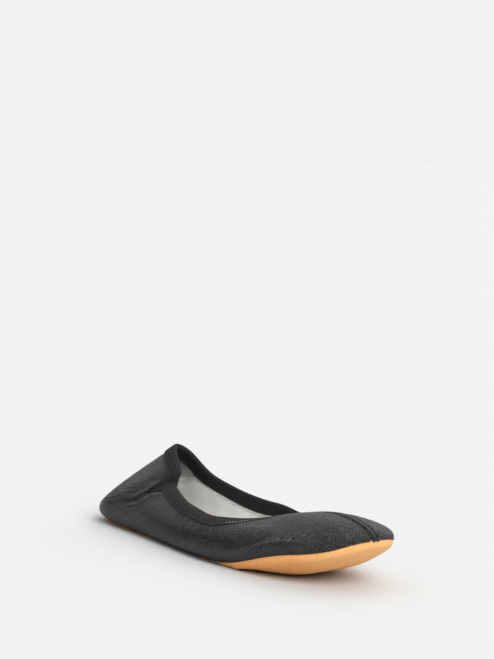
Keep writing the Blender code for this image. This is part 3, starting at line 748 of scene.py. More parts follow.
def crease_lines():
    """The sets of short creases as lines: sunk in the middle and running out at both ends."""
    random = np.random.default_rng(CREASE_SEED)
    lines = []
    for row in CREASE_SETS.values():
        for share in np.linspace(0.0, 1.0, row.count):
            start = mix(np.array(row.first), np.array(row.last), share)
            start = start + random.normal(0.0, CREASE_SHIFT, 3)
            run = np.array(row.run) * random.uniform(*CREASE_LENGTHS) + random.normal(0.0, CREASE_TURN, 3)
            depth = row.depth * random.uniform(*CREASE_DEPTHS)
            bow = random.normal(0.0, CREASE_BOW, 3)
            points = []
            for along, sunk, bent in CREASE_PROFILE:
                points.append((*(start + run * along + bow * bent), depth * sunk, row.spread))
            lines.append(smooth_line(points))
    return lines


# Grids of points: columns round the shoe and rows upward.


def grid_normal(points):
    """Outward normals of a grid of points."""
    around = np.roll(points, -1, axis=0) - np.roll(points, 1, axis=0)
    return unit(np.cross(around, np.gradient(points, axis=1)))


def column_grid(u, rows):
    """The places u repeated for every row."""
    return np.repeat(u[:, None], rows, axis=1)


def by_ring(points):
    """A grid as rings round the shoe, from the lowest up."""
    return points.transpose(1, 0, 2)


def spread_rows(low, high, count):
    """Rows from low to high at every column."""
    return mix(low[:, None], high[:, None], np.linspace(0.0, 1.0, count)[None])


def wall_heights(u, below):
    """Heights v at columns u for lengths below the collar along the wall, and the wall's whole length."""
    fine = np.linspace(0.0, 1.0, ARC_SAMPLES + 1)
    path = smooth_wall(column_grid(u, len(fine)), np.repeat(fine[None], len(u), axis=0))
    lengths = np.linalg.norm(np.diff(path, axis=1), axis=2)
    reached = np.concatenate([np.zeros((len(u), 1)), np.cumsum(lengths, axis=1)], axis=1)
    found = [np.interp(run[-1] - depth, run, fine) for run, depth in zip(reached, below)]
    return np.array(found), reached[:, -1]


def tape_depth(u, depth):
    """How far the tape comes down at each column. It is pinched where the heel sags over it."""
    return mix(depth, PINCHED_DEPTH, bell(u - PINCH_MARK, PINCH_SPREAD))


def inner_tape_depth(u):
    """How far the tape's inner leaf comes down: deeper under the hood on the foot's inner side."""
    return tape_depth(u, INNER_ELASTIC_DEPTH) + HOOD_ELASTIC_MORE * bell(u - HOOD_MARK, HOOD_SPREAD)


# The leather's face.


def seam_height(u, v):
    """The twin raised strips over the toe, each between two grooves, which flatten out towards the throat."""
    rows = np.linspace(0.0, 1.0, SEAM_SAMPLES)
    here = np.full(SEAM_SAMPLES, TOE_MARK)
    ends = smooth_wall(here + SMALL_STEP, rows) - smooth_wall(here - SMALL_STEP, rows)
    scale = np.interp(v, rows, np.linalg.norm(ends, axis=1) / (2 * SMALL_STEP))
    away = np.abs(u - TOE_MARK) * scale
    strip = ramp(SEAM_HALF + SEAM_SIDE - away, 0.0, SEAM_SIDE) * ramp(away, 0.0, SEAM_GROOVE)
    grooves = bell(away - SEAM_HALF - SEAM_SIDE_AWAY, SEAM_SIDE) + bell(away, SEAM_GROOVE)
    return (1.0 - ramp(v, *SEAM_FADE)) * (SEAM_HEIGHT * strip - SEAM_SINK * grooves)


def gather_height(u, base):
    """Small pleats round the toe, strongest on the sole's edge."""
    along = u * PERIMETER
    wander = lumps(np.stack([along, along * 0, along * 0], axis=-1), GATHER_WANDER)
    wave = np.sin(2 * np.pi * (along + wander) / GATHER_PITCH)
    rise = np.linalg.norm(base - base[:, :1], axis=-1)
    front = ramp(base[..., 0], *GATHER_X)
    seam_clear = ramp(np.abs(u - TOE_MARK) * PERIMETER - SEAM_HALF, *GATHER_CLEAR)
    depth = np.where(u < TOE_MARK, GATHER_DEPTH, GATHER_DEPTH_INSIDE)
    return depth * wave * front * seam_clear * bell(rise, GATHER_RUN)


MAIN_LINES = [smooth_line(points) for points in MAIN_FOLDS.values()]


def folded(u, v):
    """The smooth wall at columns u and heights v, its normals, and the wall with the solids' folds."""
    grid = column_grid(u, v.shape[1])
    base = smooth_wall(grid, v)
    normal = wall_normal(grid, v)
    sunk = sum(fold_depth(base, line) for line in MAIN_LINES)
    return base, normal, base - normal * sunk[..., None]


def main_surface(u, v):
    """The leather with the folds that the solids have."""
    return folded(u, v)[2]


def inner_surface(u, v):
    """The leather's form as it shows inside: the main folds and the deepest of the small ones."""
    base, facing, surface = folded(u, v)
    normal = grid_normal(surface)
    for name in INNER_FOLDS:
        line = on_leather(smooth_line(SMALL_FOLDS[name]), base, facing)
        surface = surface - normal * fold_depth(base, line)[..., None]
    return surface


def detailed_surface(u, v):
    """The leather with all its folds, its toe seam and its gathers, and how far ridges stand up from it."""
    base, normal, surface = folded(u, v)
    grid = column_grid(u, v.shape[1])
    lift = np.zeros(v.shape)
    raised = np.zeros(v.shape)
    for line in [smooth_line(points) for points in SMALL_FOLDS.values()] + crease_lines():
        depth = fold_depth(base, on_leather(line, base, normal))
        lift = lift - depth
        # Narrow ridges are made paler: partly rubbed, partly a painted highlight.
        if line[:, SPREAD].max() < RUB_AND_HIGHLIGHT_SPREAD:
            raised = raised + np.clip(-depth, 0.0, None)
    lift = lift + seam_height(grid, v) + gather_height(grid, base)
    lift = lift + lumps(base, LEATHER_SWELLS) + lumps(base, LEATHER_DIMPLES)
    return surface + normal * lift[..., None], np.clip(raised, 0.0, 1.0)


# Meshes.

OUTLINE = read_loop(np.linspace(0.0, 1.0, OUTLINE_SAMPLES, endpoint=False))[:, :2]
SOLE_MIDDLE = np.mean(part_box("outsole"), axis=0)[:2] / MM
SHIFT = np.append(SOLE_MIDDLE - (OUTLINE.min(axis=0) + OUTLINE.max(axis=0)) / 2, 0.0)


def ring_faces(columns, rings, close_rings):
    """Quads between rings of points, each ring closed on itself. The last ring may join the first."""
    low = np.arange(rings if close_rings else rings - 1)[:, None] * columns
    high = (low + columns) % (rings * columns)
    here = np.arange(columns)
    after = (here + 1) % columns
    return np.stack([low + here, low + after, high + after, high + here], axis=-1).reshape(-1, 4)


def ladder_faces(first, columns, upward):
    """Faces across the middle of a ring, from each column to its partner on the other side of the shoe."""
    faces = []
    for here in range(columns // 2):
        left = (first + here, first + here + 1)
        right = (first + (columns - here - 1) % columns, first + (columns - here) % columns)
        corners = list(dict.fromkeys((*left, *right)))
        faces.append(tuple(corners if upward else reversed(corners)))
    return faces


def add_piece(name, points, faces, finish, replaced):
    """A smooth-shaded piece from points in the shoe's own millimetres, riding on the shoe."""
    mesh = bpy.data.meshes.new(name)
    mesh.from_pydata(((np.asarray(points) + SHIFT) * MM).tolist(), [], [tuple(face) for face in faces])
    mesh.materials.append(finish)
    mesh.shade_smooth()
    mesh.update()
    piece = bpy.data.objects.new(name, mesh)
    bpy.context.scene.collection.objects.link(piece)
    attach(piece, BODY)
    if replaced:
        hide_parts(replaced)
    return piece


def add_band(name, rings, across, finish, replaced):
    """A closed band round the shoe. Its map runs in millimetres, along the band and then across it."""
    rings = np.asarray(rings)
    count, columns = rings.shape[:2]
    faces = ring_faces(columns, count, True)
    piece = add_piece(name, rings.reshape(-1, 3), faces, finish, replaced)
    middle = rings[count // 4]
    steps = np.linalg.norm(np.roll(middle, -1, axis=0) - middle, axis=1)
    along = np.concatenate([[0.0], np.cumsum(steps)])
    places = np.stack([along[:-1], along[1:], along[1:], along[:-1]], axis=-1)
    heights = np.append(across, across[-1])
    levels = np.stack([heights[:-1], heights[:-1], heights[1:], heights[1:]], axis=-1)
    charts = (np.repeat(places[None], count, axis=0), np.repeat(levels[:, None], columns, axis=1))
    layer = piece.data.uv_layers.new(name="chart")
    layer.data.foreach_set("uv", (np.stack(charts, axis=-1) * MM).astype(np.float32).reshape(-1))
    return piece


def set_attribute(piece, name, values):
    """A number at each point of a piece, for its material."""
    attribute = piece.data.attributes.new(name, "FLOAT", "POINT")
    attribute.data.foreach_set("value", np.asarray(values, np.float32).reshape(-1))


def leather_places():
    """Columns round the shoe, closer round the toe, at the slack heel and over the toe seam."""
    fine = np.linspace(0.0, 1.0, OUTLINE_SAMPLES + 1)
    x, y = read_loop(fine)[:, :2].T
    heel = (y < 0.0) & (x > HEEL_MORE_X[0]) & (x < HEEL_MORE_X[1])
    need = 1.0 + TOE_MORE * ramp(x, *TOE_MORE_X) + HEEL_MORE * heel
    reached = np.concatenate([[0.0], np.cumsum((need[1:] + need[:-1]) / 2)])
    even = np.interp(np.arange(LEATHER_COLUMNS) / LEATHER_COLUMNS, reached / reached[-1], fine)
    kept = even[np.abs(even - TOE_MARK) * PERIMETER > SEAM_ZONE]
    seam = np.arange(-SEAM_ZONE + SEAM_COLUMN, SEAM_ZONE, SEAM_COLUMN) / PERIMETER
    return np.sort(np.concatenate([kept, TOE_MARK + seam]))


def leather_outside(u, depth, height):
    """The leather's creased outer face up into the tape, how far ridges stand up on it, and its heights v."""
    shares = 1.0 - np.linspace(0.0, 1.0, LEATHER_ROWS) ** ROW_BIAS
    body = depth[:, None] + (height - depth)[:, None] * shares[None]
    band = spread_rows(depth, np.full(len(u), EDGE_SETBACK), LEATHER_BAND_ROWS + 1)[:, 1:]
    v, _ = wall_heights(u, np.concatenate([body, band], axis=1))
    return (*detailed_surface(u, v), v)


def leather_inside(u, depth, height):
    """The leather's plainer inner face, closer to the outer one under the tape, and its heights v."""
    below = spread_rows(np.full(len(u), EDGE_SETBACK), height, LEATHER_INNER_ROWS)[:, ::-1]
    v, _ = wall_heights(u, below)
    form = inner_surface(u, v)
    thick = mix(SKIVED_LEATHER, LEATHER, ramp(below - depth[:, None], 0.0, SKIVE_RUN))
    return form - grid_normal(form) * thick[..., None], v


def leather_lip(u, foot):
    """The lower edge: a little out over the sole, and nicked round the toe."""
    nick = np.abs(np.sin(np.pi * u * PERIMETER / NICK_PITCH)) * ramp(foot[:, 0], *NICK_X)
    lip = foot + plan_normal(u) * LIP_OUT
    lip[:, 2] -= np.minimum(LIP_DROP + NICK_DEPTH * nick, foot[:, 2] - LIP_CLEAR)
    return lip


def mark_leather(piece, rings, raised):
    """Where the leather is worn, where its ridges are paler, partly rubbed and partly a painted highlight,
    and where it is finely wrinkled.
    """
    low = ramp(WEAR_HEIGHT - (rings[..., 2] - rings[:1, :, 2]), 0.0, WEAR_HEIGHT)
    set_attribute(piece, "wear", low * mix(WEAR_LEAST, 1.0, ramp(rings[..., 0], *WEAR_X)))
    # Paler on ridges that stand up: partly rubbed, partly a painted highlight.
    rub_and_highlight = np.zeros(rings.shape[:2])
    rub_and_highlight[1 : 1 + raised.shape[1]] = ramp(raised.T, 0.0, RUB_AND_HIGHLIGHT_FULL) ** 2
    set_attribute(piece, "rub_and_highlight", rub_and_highlight)
    for name, points in WRINKLE_BANDS.items():
        set_attribute(piece, name, fold_depth(rings, smooth_line(points)))


def add_leather(finish):
    """The upper: a creased outer face, an edge inside the tape and a plainer inner face."""
    u = leather_places()
    depth = tape_depth(u, ELASTIC_DEPTH)
    _, height = wall_heights(u, depth[:, None])
    outer, raised, v = leather_outside(u, depth, height)
    inner, v_inner = leather_inside(u, depth, height)
    inner[:, -1] = outer[:, -1] - grid_normal(outer)[:, -1] * SKIVED_LEATHER
    lip = leather_lip(u, outer[:, 0])
    rings = np.concatenate([lip[None], by_ring(outer), by_ring(inner)[::-1]])
    across = height.mean() * np.concatenate([[0.0], v.mean(axis=0), v_inner.mean(axis=0)[::-1]])
    piece = add_band("leather_upper", rings, across, finish, "upper")
    mark_leather(piece, rings, raised)


def tape_proud(u):
    """How far the outer leaf stands out from the leather: less at the throat, more where the ends lap."""
    along = (u - PINCH_MARK) * PERIMETER
    lap = LAP_STEP * ramp(along, -LAP_RUN / 2, LAP_RUN / 2) * (1.0 - ramp(along, 0.0, LAP_FADE))
    return mix(TAPE_PROUD, THROAT_PROUD, ramp(read_loop(u)[:, TOP_X], *THROAT_X)) + lap


def rib_height(across):
    """The ribs along the tape: how far its face sinks below its full thickness."""
    return -RIB_DEPTH * (0.5 - 0.5 * np.cos(2 * np.pi * across / RIB_PITCH)) ** RIB_SHARPNESS


def tape_leaf(u, depth, outward):
    """One leaf of the tape: its face from its lower edge to the collar, the side next to the leather, how far
    across the tape the rows lie, and the leather that carries it with its normals."""
    below = spread_rows(depth, np.full(len(u), EDGE_SETBACK), TAPE_LEAF_ROWS)
    v, _ = wall_heights(u, below)
    surface = main_surface(u, v)
    normal = grid_normal(surface)
    edge = np.clip((depth[:, None] - below) / TAPE_EDGE_RUN, 0.0, 1.0)
    rounding = np.sqrt(np.clip(1.0 - (1.0 - edge) ** 2, 0.0, 1.0))
    across = FOLD_HALF + below - EDGE_SETBACK
    start = TAPE_BACK if outward else SKIVED_LEATHER + GAP
    full = tape_proud(u)[:, None] if outward else start + ELASTIC
    lift = mix(start + TAPE_EDGE, full + rib_height(across), rounding)
    out = normal if outward else -normal
    return surface + out * lift[..., None], surface + out * start, across, surface, normal


def tape_fold(u, surface, normal):
    """The tape's fold over the leather's edge: rings of its face and back, and how far across they lie."""
    end = normal[:, -1]
    upward = surface[:, -1] - surface[:, -2]
    upward = unit(upward - end * (upward * end).sum(axis=1, keepdims=True))
    middle = surface[:, -1] + upward * GAP - end * SKIVED_LEATHER / 2
    inside = SKIVED_LEATHER / 2 + GAP + ELASTIC
    outside = SKIVED_LEATHER / 2 + tape_proud(u)
    face = []
    back = []
    across = []
    for angle in np.linspace(0.0, np.pi, TAPE_FOLD_ROWS + 2)[1:-1]:
        place = (angle - np.pi / 2) * inside
        size = mix(inside, outside, 0.5 + 0.5 * np.cos(angle)) + rib_height(place)
        direction = np.cos(angle) * end + np.sin(angle) * upward
        face.append(middle + direction * size[:, None])
        back.append(middle + direction * (SKIVED_LEATHER / 2 + TAPE_BACK))
        across.append(place)
    return face, back, across


def add_tape(finish):
    """The elastic tape, folded over the leather's edge, with ribs along it. Its back has fewer rings."""
    u = np.arange(TAPE_COLUMNS) / TAPE_COLUMNS
    outer, outer_back, across, surface, normal = tape_leaf(u, tape_depth(u, ELASTIC_DEPTH), True)
    inner, inner_back, inner_across, _, _ = tape_leaf(u, inner_tape_depth(u), False)
    fold, fold_back, fold_across = tape_fold(u, surface, normal)
    rings = [*by_ring(outer), *fold, *by_ring(inner)[::-1]]
    inner_back = by_ring(inner_back)[::BACK_LEAF_STEP]
    outer_back = by_ring(outer_back)[::-BACK_LEAF_STEP]
    back = [*inner_back, *fold_back[::-BACK_FOLD_STEP], *outer_back]
    places = [-across.mean(axis=0), fold_across, inner_across.mean(axis=0)[::-1], np.zeros(len(back))]
    rows = np.concatenate(places)
    add_band("elastic_binding", [*rings, *back], rows, finish, "collar_elastic")


def turned_in(u, face, rise):
    """A face of the lining with its lower edge drawn in onto the sock, wherever it ends above that."""
    edge = face[:, 0]
    sock = sole_underside(u, TURN_SHARE) + UP * (SOCK_HIGH + rise)
    share = ramp(edge[:, 2] - sock[:, 2], 0.0, TURN_BLEND)[:, None]
    lowest = mix(edge - UP * TURN_DROP, sock, share)
    return np.concatenate([lowest[:, None], face], axis=1)


def add_lining(finish):
    """The cotton lining inside the leather, tucked under the tape's inner leaf."""
    u = np.arange(LINING_COLUMNS) / LINING_COLUMNS
    depth = inner_tape_depth(u)
    _, height = wall_heights(u, depth[:, None])
    below = spread_rows(height - LINING_START, depth - LINING_TUCK, LINING_ROWS)
    v, _ = wall_heights(u, below)
    form = inner_surface(u, v)
    normal = grid_normal(form)
    loose = ramp(below - depth[:, None], LINING_TUCK_START, LINING_TUCK_START + SKIVE_RUN)
    start = mix(SKIVED_LEATHER + TUCKED_GAP, LEATHER + LINING_GAP, loose)
    slack = LINING_SLACK.height + lumps(form, LINING_SLACK)
    for points in LINING_FOLDS.values():
        slack = slack + fold_depth(form, smooth_line(points))
    thick = mix(TUCKED_LINING, LINING, loose) + np.clip(slack, 0.0, None) * loose
    outer = turned_in(u, form - normal * start[..., None], TURN_RISE)
    inner = turned_in(u, form - normal * (start + thick)[..., None], TURN_RISE + TURN_THICKNESS)
    rings = np.concatenate([by_ring(outer), by_ring(inner)[::-1]])
    climb = np.append(-TURN_WIDTH, np.linspace(0.0, height.mean(), LINING_ROWS))
    across = np.concatenate([climb, climb[::-1]])
    piece = add_band("cotton_lining", rings, across, finish, None)
    # Painted shade on the lining under the hood: it starts at the line and is darker higher up.
    over = rings[..., 2] - np.interp(rings[..., 0], PAINTED_SHADE_EDGE_X, PAINTED_SHADE_EDGE_Z, right=HOOD_HEIGHT)
    patch = ramp(over, 0.0, PAINTED_SHADE_BLEND) * mix(PAINTED_SHADE_LEAST, 1.0, ramp(over, 0.0, PAINTED_SHADE_FADE))
    set_attribute(piece, "patch", patch)


def add_sheet(name, rings, finish, replaced):
    """A closed sheet from rings that run from its underside's middle, round its edge, to its upper middle."""
    columns = len(rings[0])
    faces = [tuple(face) for face in ring_faces(columns, len(rings), False)]
    faces += ladder_faces(0, columns, upward=False)
    faces += ladder_faces((len(rings) - 1) * columns, columns, upward=True)
    add_piece(name, np.concatenate(rings), faces, finish, replaced)


def mirrored_places(count):
    """Columns round the shoe with as many on each side of the heel and the toe tip."""
    shares = np.linspace(0.0, 1.0, count // 2 + 1)
    return np.concatenate([shares * TOE_MARK, 1.0 - shares[-2:0:-1] * (1.0 - TOE_MARK)])


def sole_side(u, start):
    """The sole's rounded and crumbed side, in rings from the underside's last one up to the rim."""
    rim = read_loop(u)[:, FOOT] - UP * RIM_DROP
    size = np.linalg.norm(rim - start, axis=1, keepdims=True)
    low = start + unit(start - sole_underside(u, SIDE_BEFORE_SHARE)) * size * SIDE_BELLY
    high = rim - UP * SIDE_UPRIGHT * size
    out = plan_normal(u)
    rings = []
    for t in np.linspace(0.0, 1.0, SOLE_SIDE_RINGS)[1:]:
        ring = bezier(start, low, high, rim, t)
        crumb = lumps(ring, SIDE_CRUMB) + lumps(ring, SIDE_SWELLS)
        rings.append(ring + out * crumb[:, None] * np.sin(np.pi * t))
    return rings


def add_sole(finish):
    """The crepe sole: crumbed underside, rounded side and rim, and the top that the sock lies on."""
    u = mirrored_places(SOLE_COLUMNS)
    under = [sole_underside(u, share) for share in np.linspace(*SOLE_UNDER_SHARES, SOLE_UNDER_RINGS)]
    for ring in under:
        ring[:, 2] += SOLE_CRUMB.height + lumps(ring, SOLE_CRUMB)
    over = [sole_underside(u, share) + UP * SOLE_THICKNESS for share in SOLE_OVER_SHARES]
    rings = [*under, *sole_side(u, under[-1]), *over]
    add_sheet("crepe_outsole", rings, finish, "outsole")


def add_sock(finish):
    """The sock on the sole, with the slight hollows that a foot leaves."""
    u = mirrored_places(SOCK_COLUMNS)
    under = [sole_underside(u, share) + UP * SOCK_LOW for share in SOCK_UNDER_SHARES]
    over = []
    for share in np.linspace(SOCK_MIDDLE_SHARE, SOCK_SHARE, SOCK_RINGS)[::-1]:
        ring = sole_underside(u, share) + UP * SOCK_HIGH
        wear_and_glint = lumps(ring, SOCK_WEAR) - SOCK_WEAR.height / 2
        drop = SOCK_EDGE_DROP * ramp(share, SOCK_EDGE_SHARE, SOCK_SHARE)
        ring[:, 2] += wear_and_glint * (1.0 - share) ** SOCK_WEAR_POWER - drop
        over.append(ring)
    add_sheet("insole_sock", [*under, *over], finish, "insole")


def stitch_mesh(starts, middles, ends, facing):
    """Short arched threads: points and faces of all of them."""
    points = []
    faces = []
    for start, middle, end, out in zip(starts, middles, ends, facing):
        side = np.cross(out, unit(end - start))
        first = len(points)
        for share in np.linspace(0.0, 1.0, STITCH_RINGS):
            arch = 4 * share * (1.0 - share)
            centre = mix(start, end, share) + (middle - (start + end) / 2) * arch
            centre = centre + out * THREAD_RADIUS * (STITCH_ARCH * arch - STITCH_SINK)
            size = THREAD_RADIUS * mix(STITCH_TAPER, 1.0, arch)
            for turn in np.arange(STITCH_SIDES) * 2 * np.pi / STITCH_SIDES:
                points.append(centre + size * (np.cos(turn) * side + np.sin(turn) * out))
        faces += [tuple(face) for face in first + ring_faces(STITCH_SIDES, STITCH_RINGS, False)]
        faces.append(tuple(range(first + STITCH_SIDES - 1, first - 1, -1)))
        faces.append(tuple(range(len(points) - STITCH_SIDES, len(points))))
    return np.array(points), faces


def stitch_line(u, outward):
    """The line that a leaf's stitches follow, close above its lower edge, and its normals."""
    depth = (tape_depth(u, ELASTIC_DEPTH) if outward else inner_tape_depth(u)) - STITCH_INSET
    v, _ = wall_heights(u, depth[:, None] + np.array([STITCH_ROWS]))
    surface = main_surface(u, v)
    normal = grid_normal(surface)[:, 1]
    level = tape_proud(u) if outward else SKIVED_LEATHER + GAP + ELASTIC
    level = level + rib_height(FOLD_HALF + depth - EDGE_SETBACK)
    facing = normal if outward else -normal
    return surface[:, 1] + facing * level[:, None], facing


def add_stitches(name, outward, pale, finish):
    """A row of stitches that holds one leaf of the tape, or its pale stretch, pale thread that is partly a
    painted glint of light.
    """
    line, facing = stitch_line(np.arange(STITCH_SAMPLES) / STITCH_SAMPLES, outward)
    steps = np.linalg.norm(np.roll(line, -1, axis=0) - line, axis=1)
    reached = np.concatenate([[0.0], np.cumsum(steps)])
    length, pitch = (PALE_LENGTH, PALE_PITCH) if pale else (STITCH_LENGTH, STITCH_PITCH)
    count = int(reached[-1] / pitch)
    begin = np.arange(count) * reached[-1] / count

    def at(values, places):
        closed = np.vstack([values, values[:1]])
        return np.stack([np.interp(places, reached, closed[:, k]) for k in range(3)], axis=-1)

    x, y, _ = at(line, begin).T
    # The pale stretch on the outer side of the throat: pale thread, partly a painted glint of light.
    wear_and_glint = outward & (x > PALE_GLINT_X[0]) & (x < PALE_GLINT_X[1]) & (y < 0.0)
    begin = begin[wear_and_glint == pale]
    middle = begin + length / 2
    places = (at(line, begin), at(line, middle), at(line, begin + length))
    points, faces = stitch_mesh(*places, at(facing, middle))
    add_piece(name, points, faces, finish, None)


# Materials. Scales of textures are lumps to a metre, and depths of relief are in metres.


class Nodes:
    """A node tree with short ways to add and join its nodes."""

    def __init__(self, tree):
        self.nodes = tree.nodes
        self.links = tree.links

    def add(self, kind, settings=None, **sockets):
        """A node with its settings, and with its sockets set or linked by name."""
        node = self.nodes.new(kind)
        for key, value in (settings or {}).items():
            setattr(node, key, value)
        for key, value in sockets.items():
            self.put(node, key.replace("_", " "), value)
        return node

    def put(self, node, socket, value):
        """Set or link one socket, given by its name or its place."""
        target = node.inputs[socket]
        if isinstance(value, bpy.types.NodeSocket):
            self.links.new(value, target)
        else:
            target.default_value = (*value, 1.0) if target.type == "RGBA" else value

    def dot(self, vector, way):
        """How far a place lies along a direction."""
        node = self.add("ShaderNodeVectorMath", {"operation": "DOT_PRODUCT"})
        self.put(node, 0, vector)
        self.put(node, 1, way)
        return node.outputs["Value"]


class Shader(Nodes):
    """A Principled material."""

    def __init__(self, name):
        self.material = bpy.data.materials.new(name)
        self.material.use_nodes = True
        super().__init__(self.material.node_tree)

    def place(self):
        """Coordinates on the shoe, in metres."""
        return self.add("ShaderNodeTexCoord").outputs["Object"]

    def chart(self):
        """The piece's own map, in metres along and across it."""
        return self.add("ShaderNodeUVMap", {"uv_map": "chart"}).outputs["UV"]

    def split(self, vector):
        """The three values of a vector."""
        return self.add("ShaderNodeSeparateXYZ", None, Vector=vector).outputs

    def noise(self, scale, detail=2.0, roughness=0.5, vector=None):
        """Soft noise from 0 to 1."""
        node = self.add("ShaderNodeTexNoise", None, Scale=scale, Detail=detail, Roughness=roughness)
        self.put(node, "Vector", vector or self.place())
        return node.outputs["Fac"]

    def remap(self, value, low, high, to_low=0.0, to_high=1.0):
        """A value stretched from the range low to high to another range."""
        node = self.add(
            "ShaderNodeMapRange",
            {"interpolation_type": "SMOOTHSTEP"},
            Value=value,
            From_Min=low,
            From_Max=high,
            To_Min=to_low,
            To_Max=to_high,
        )
        return node.outputs["Result"]

    def math(self, operation, first, second=0.0):
        """One or two values joined by an operation."""
        node = self.add("ShaderNodeMath", {"operation": operation})
        self.put(node, 0, first)
        self.put(node, 1, second)
        return node.outputs["Value"]

    def wave(self, operation, value, pitch):
        """A sine or cosine that repeats every pitch millimetres."""
        return self.math(operation, self.math("MULTIPLY", value, 2 * math.pi / (pitch * MM)))

    def streaks(self, along, across, pitch, length):
        """Noise from 0 to 1 in streaks that run along a direction, in metres apart and long."""
        place = self.place()
        node = self.add(
            "ShaderNodeCombineXYZ",
            None,
            X=self.math("MULTIPLY", self.dot(place, across), 1.0 / pitch),
            Y=self.math("MULTIPLY", self.dot(place, along), 1.0 / length),
        )
        return self.noise(1.0, vector=node.outputs["Vector"])

    def blend(self, share, first, second):
        """A colour between two colours."""
        node = self.add("ShaderNodeMix", {"data_type": "RGBA"})
        for socket, value in ((0, share), (6, first), (7, second)):
            self.put(node, socket, value)
        return node.outputs[2]

    def attribute(self, name):
        """A number that the mesh holds at its points."""
        return self.add("ShaderNodeAttribute", {"attribute_name": name}).outputs["Fac"]

    def bump(self, height, distance, strength=1.0, under=None):
        """A relief of the given depth, over another one."""
        node = self.add("ShaderNodeBump", None, Height=height, Distance=distance, Strength=strength)
        if under:
            self.put(node, "Normal", under)
        return node.outputs["Normal"]

    def finish(self, **sockets):
        """Set or link the main shader's sockets and hand the material back."""
        for key, value in sockets.items():
            self.put(self.nodes["Principled BSDF"], key.replace("_", " "), value)
        return self.material


def leather_material():
    """Soft black leather: pebbled grain, uneven sheen, wrinkles, worn low down, and paler on its ridges,
    partly rubbed and partly a painted highlight.
    """
    s = Shader("black_leather")
    cells = s.add("ShaderNodeTexVoronoi", {"feature": "DISTANCE_TO_EDGE"}, Scale=760.0, Vector=s.place())
    pebble = s.remap(cells.outputs["Distance"], 0.0, 0.28)
    cloud = s.noise(330.0, detail=5.0, roughness=0.62)
    pores = s.noise(2600.0)
    patch = s.remap(s.noise(60.0, detail=4.0), 0.35, 0.7)
    colour = s.blend(patch, LEATHER_DEEP, LEATHER_SOFT)
    wear_and_glint = s.math("MULTIPLY", s.attribute("wear"), s.remap(cloud, 0.35, 0.75))
    colour = s.blend(s.math("MULTIPLY", wear_and_glint, 0.55), colour, LEATHER_WORN)
    # Paler on narrow ridges: partly rubbed leather, partly a painted highlight.
    colour = s.blend(s.math("MULTIPLY", s.attribute("rub_and_highlight"), 0.75), colour, LEATHER_RUB_AND_HIGHLIGHT)
    uneven = s.math("ADD", s.math("MULTIPLY", cloud, 0.6), s.math("MULTIPLY", pebble, 0.4))
    relief = s.bump(cloud, 0.0010, 0.35)
    relief = s.bump(pebble, 0.00060, 1.0, relief)
    relief = s.bump(pores, 0.00008, 0.35, relief)
    for row in WRINKLES:
        streak = s.remap(s.streaks(row.along, row.across, row.pitch * MM, row.length * MM), 0.3, 0.7)
        relief = s.bump(s.math("MULTIPLY", streak, s.attribute(row.band)), row.depth * MM, 1.0, relief)
    return s.finish(
        Base_Color=colour,
        Roughness=s.remap(uneven, 0.2, 0.9, 0.34, 0.50),
        Normal=relief,
        Specular_IOR_Level=0.56,
    )


def elastic_material():
    """Matt black ribbed tape with fine cross threads, and painted shade down in the grooves between its ribs.
    """
    s = Shader("black_elastic")
    chart = s.split(s.chart())
    thread = s.wave("SINE", chart["X"], CROSS_THREAD_PITCH)
    rib = s.wave("COSINE", chart["Y"], RIB_PITCH)
    fuzz = s.noise(1800.0, detail=3.0, roughness=0.6)
    # Darker down in the grooves between the ribs: painted shade.
    colour = s.blend(s.remap(rib, -1.0, 0.6), TAPE_PAINTED_GROOVE_SHADE, TAPE_RIB)
    colour = s.blend(s.remap(fuzz, 0.55, 0.85, 0.0, 0.6), colour, TAPE_FUZZ)
    relief = s.bump(thread, 0.00006, 0.6)
    relief = s.bump(fuzz, 0.00010, 0.5, relief)
    return s.finish(
        Base_Color=colour,
        Roughness=s.remap(fuzz, 0.3, 0.8, 0.72, 0.9),
        Normal=relief,
        Specular_IOR_Level=0.12,
    )


def cotton_material(name, pale, dull, lining):
    """Pale cotton in plain weave, a little soiled. The lining's follows its map and has painted shade under
    the heel's hood.
    """
    s = Shader(name)
    chart = s.split(s.chart() if lining else s.place())
    cloth = s.math("MULTIPLY", *(s.wave("SINE", chart[axis], WEAVE_PITCH) for axis in "XY"))
    slub = s.noise(560.0, detail=4.0, roughness=0.65)
    darkening = s.remap(s.noise(38.0, detail=4.0, roughness=0.6), 0.42, 0.72)
    colour = s.blend(darkening, pale, dull)
    colour = s.blend(s.remap(cloth, -0.9, 0.3, 0.45, 0.0), colour, tuple(WEAVE_SHADE * c for c in dull))
    # Painted shade under the heel's hood.
    if lining:
        colour = s.blend(s.attribute("patch"), colour, LINING_PAINTED_SHADE)
    relief = s.bump(slub, 0.00060, 0.8)
    relief = s.bump(cloth, 0.00012, 0.6, relief)
    return s.finish(
        Base_Color=colour,
        Roughness=s.remap(slub, 0.3, 0.7, 0.86, 0.96),
        Normal=relief,
        Specular_IOR_Level=0.2,
        Sheen_Weight=0.15,
        Sheen_Roughness=0.6,
    )


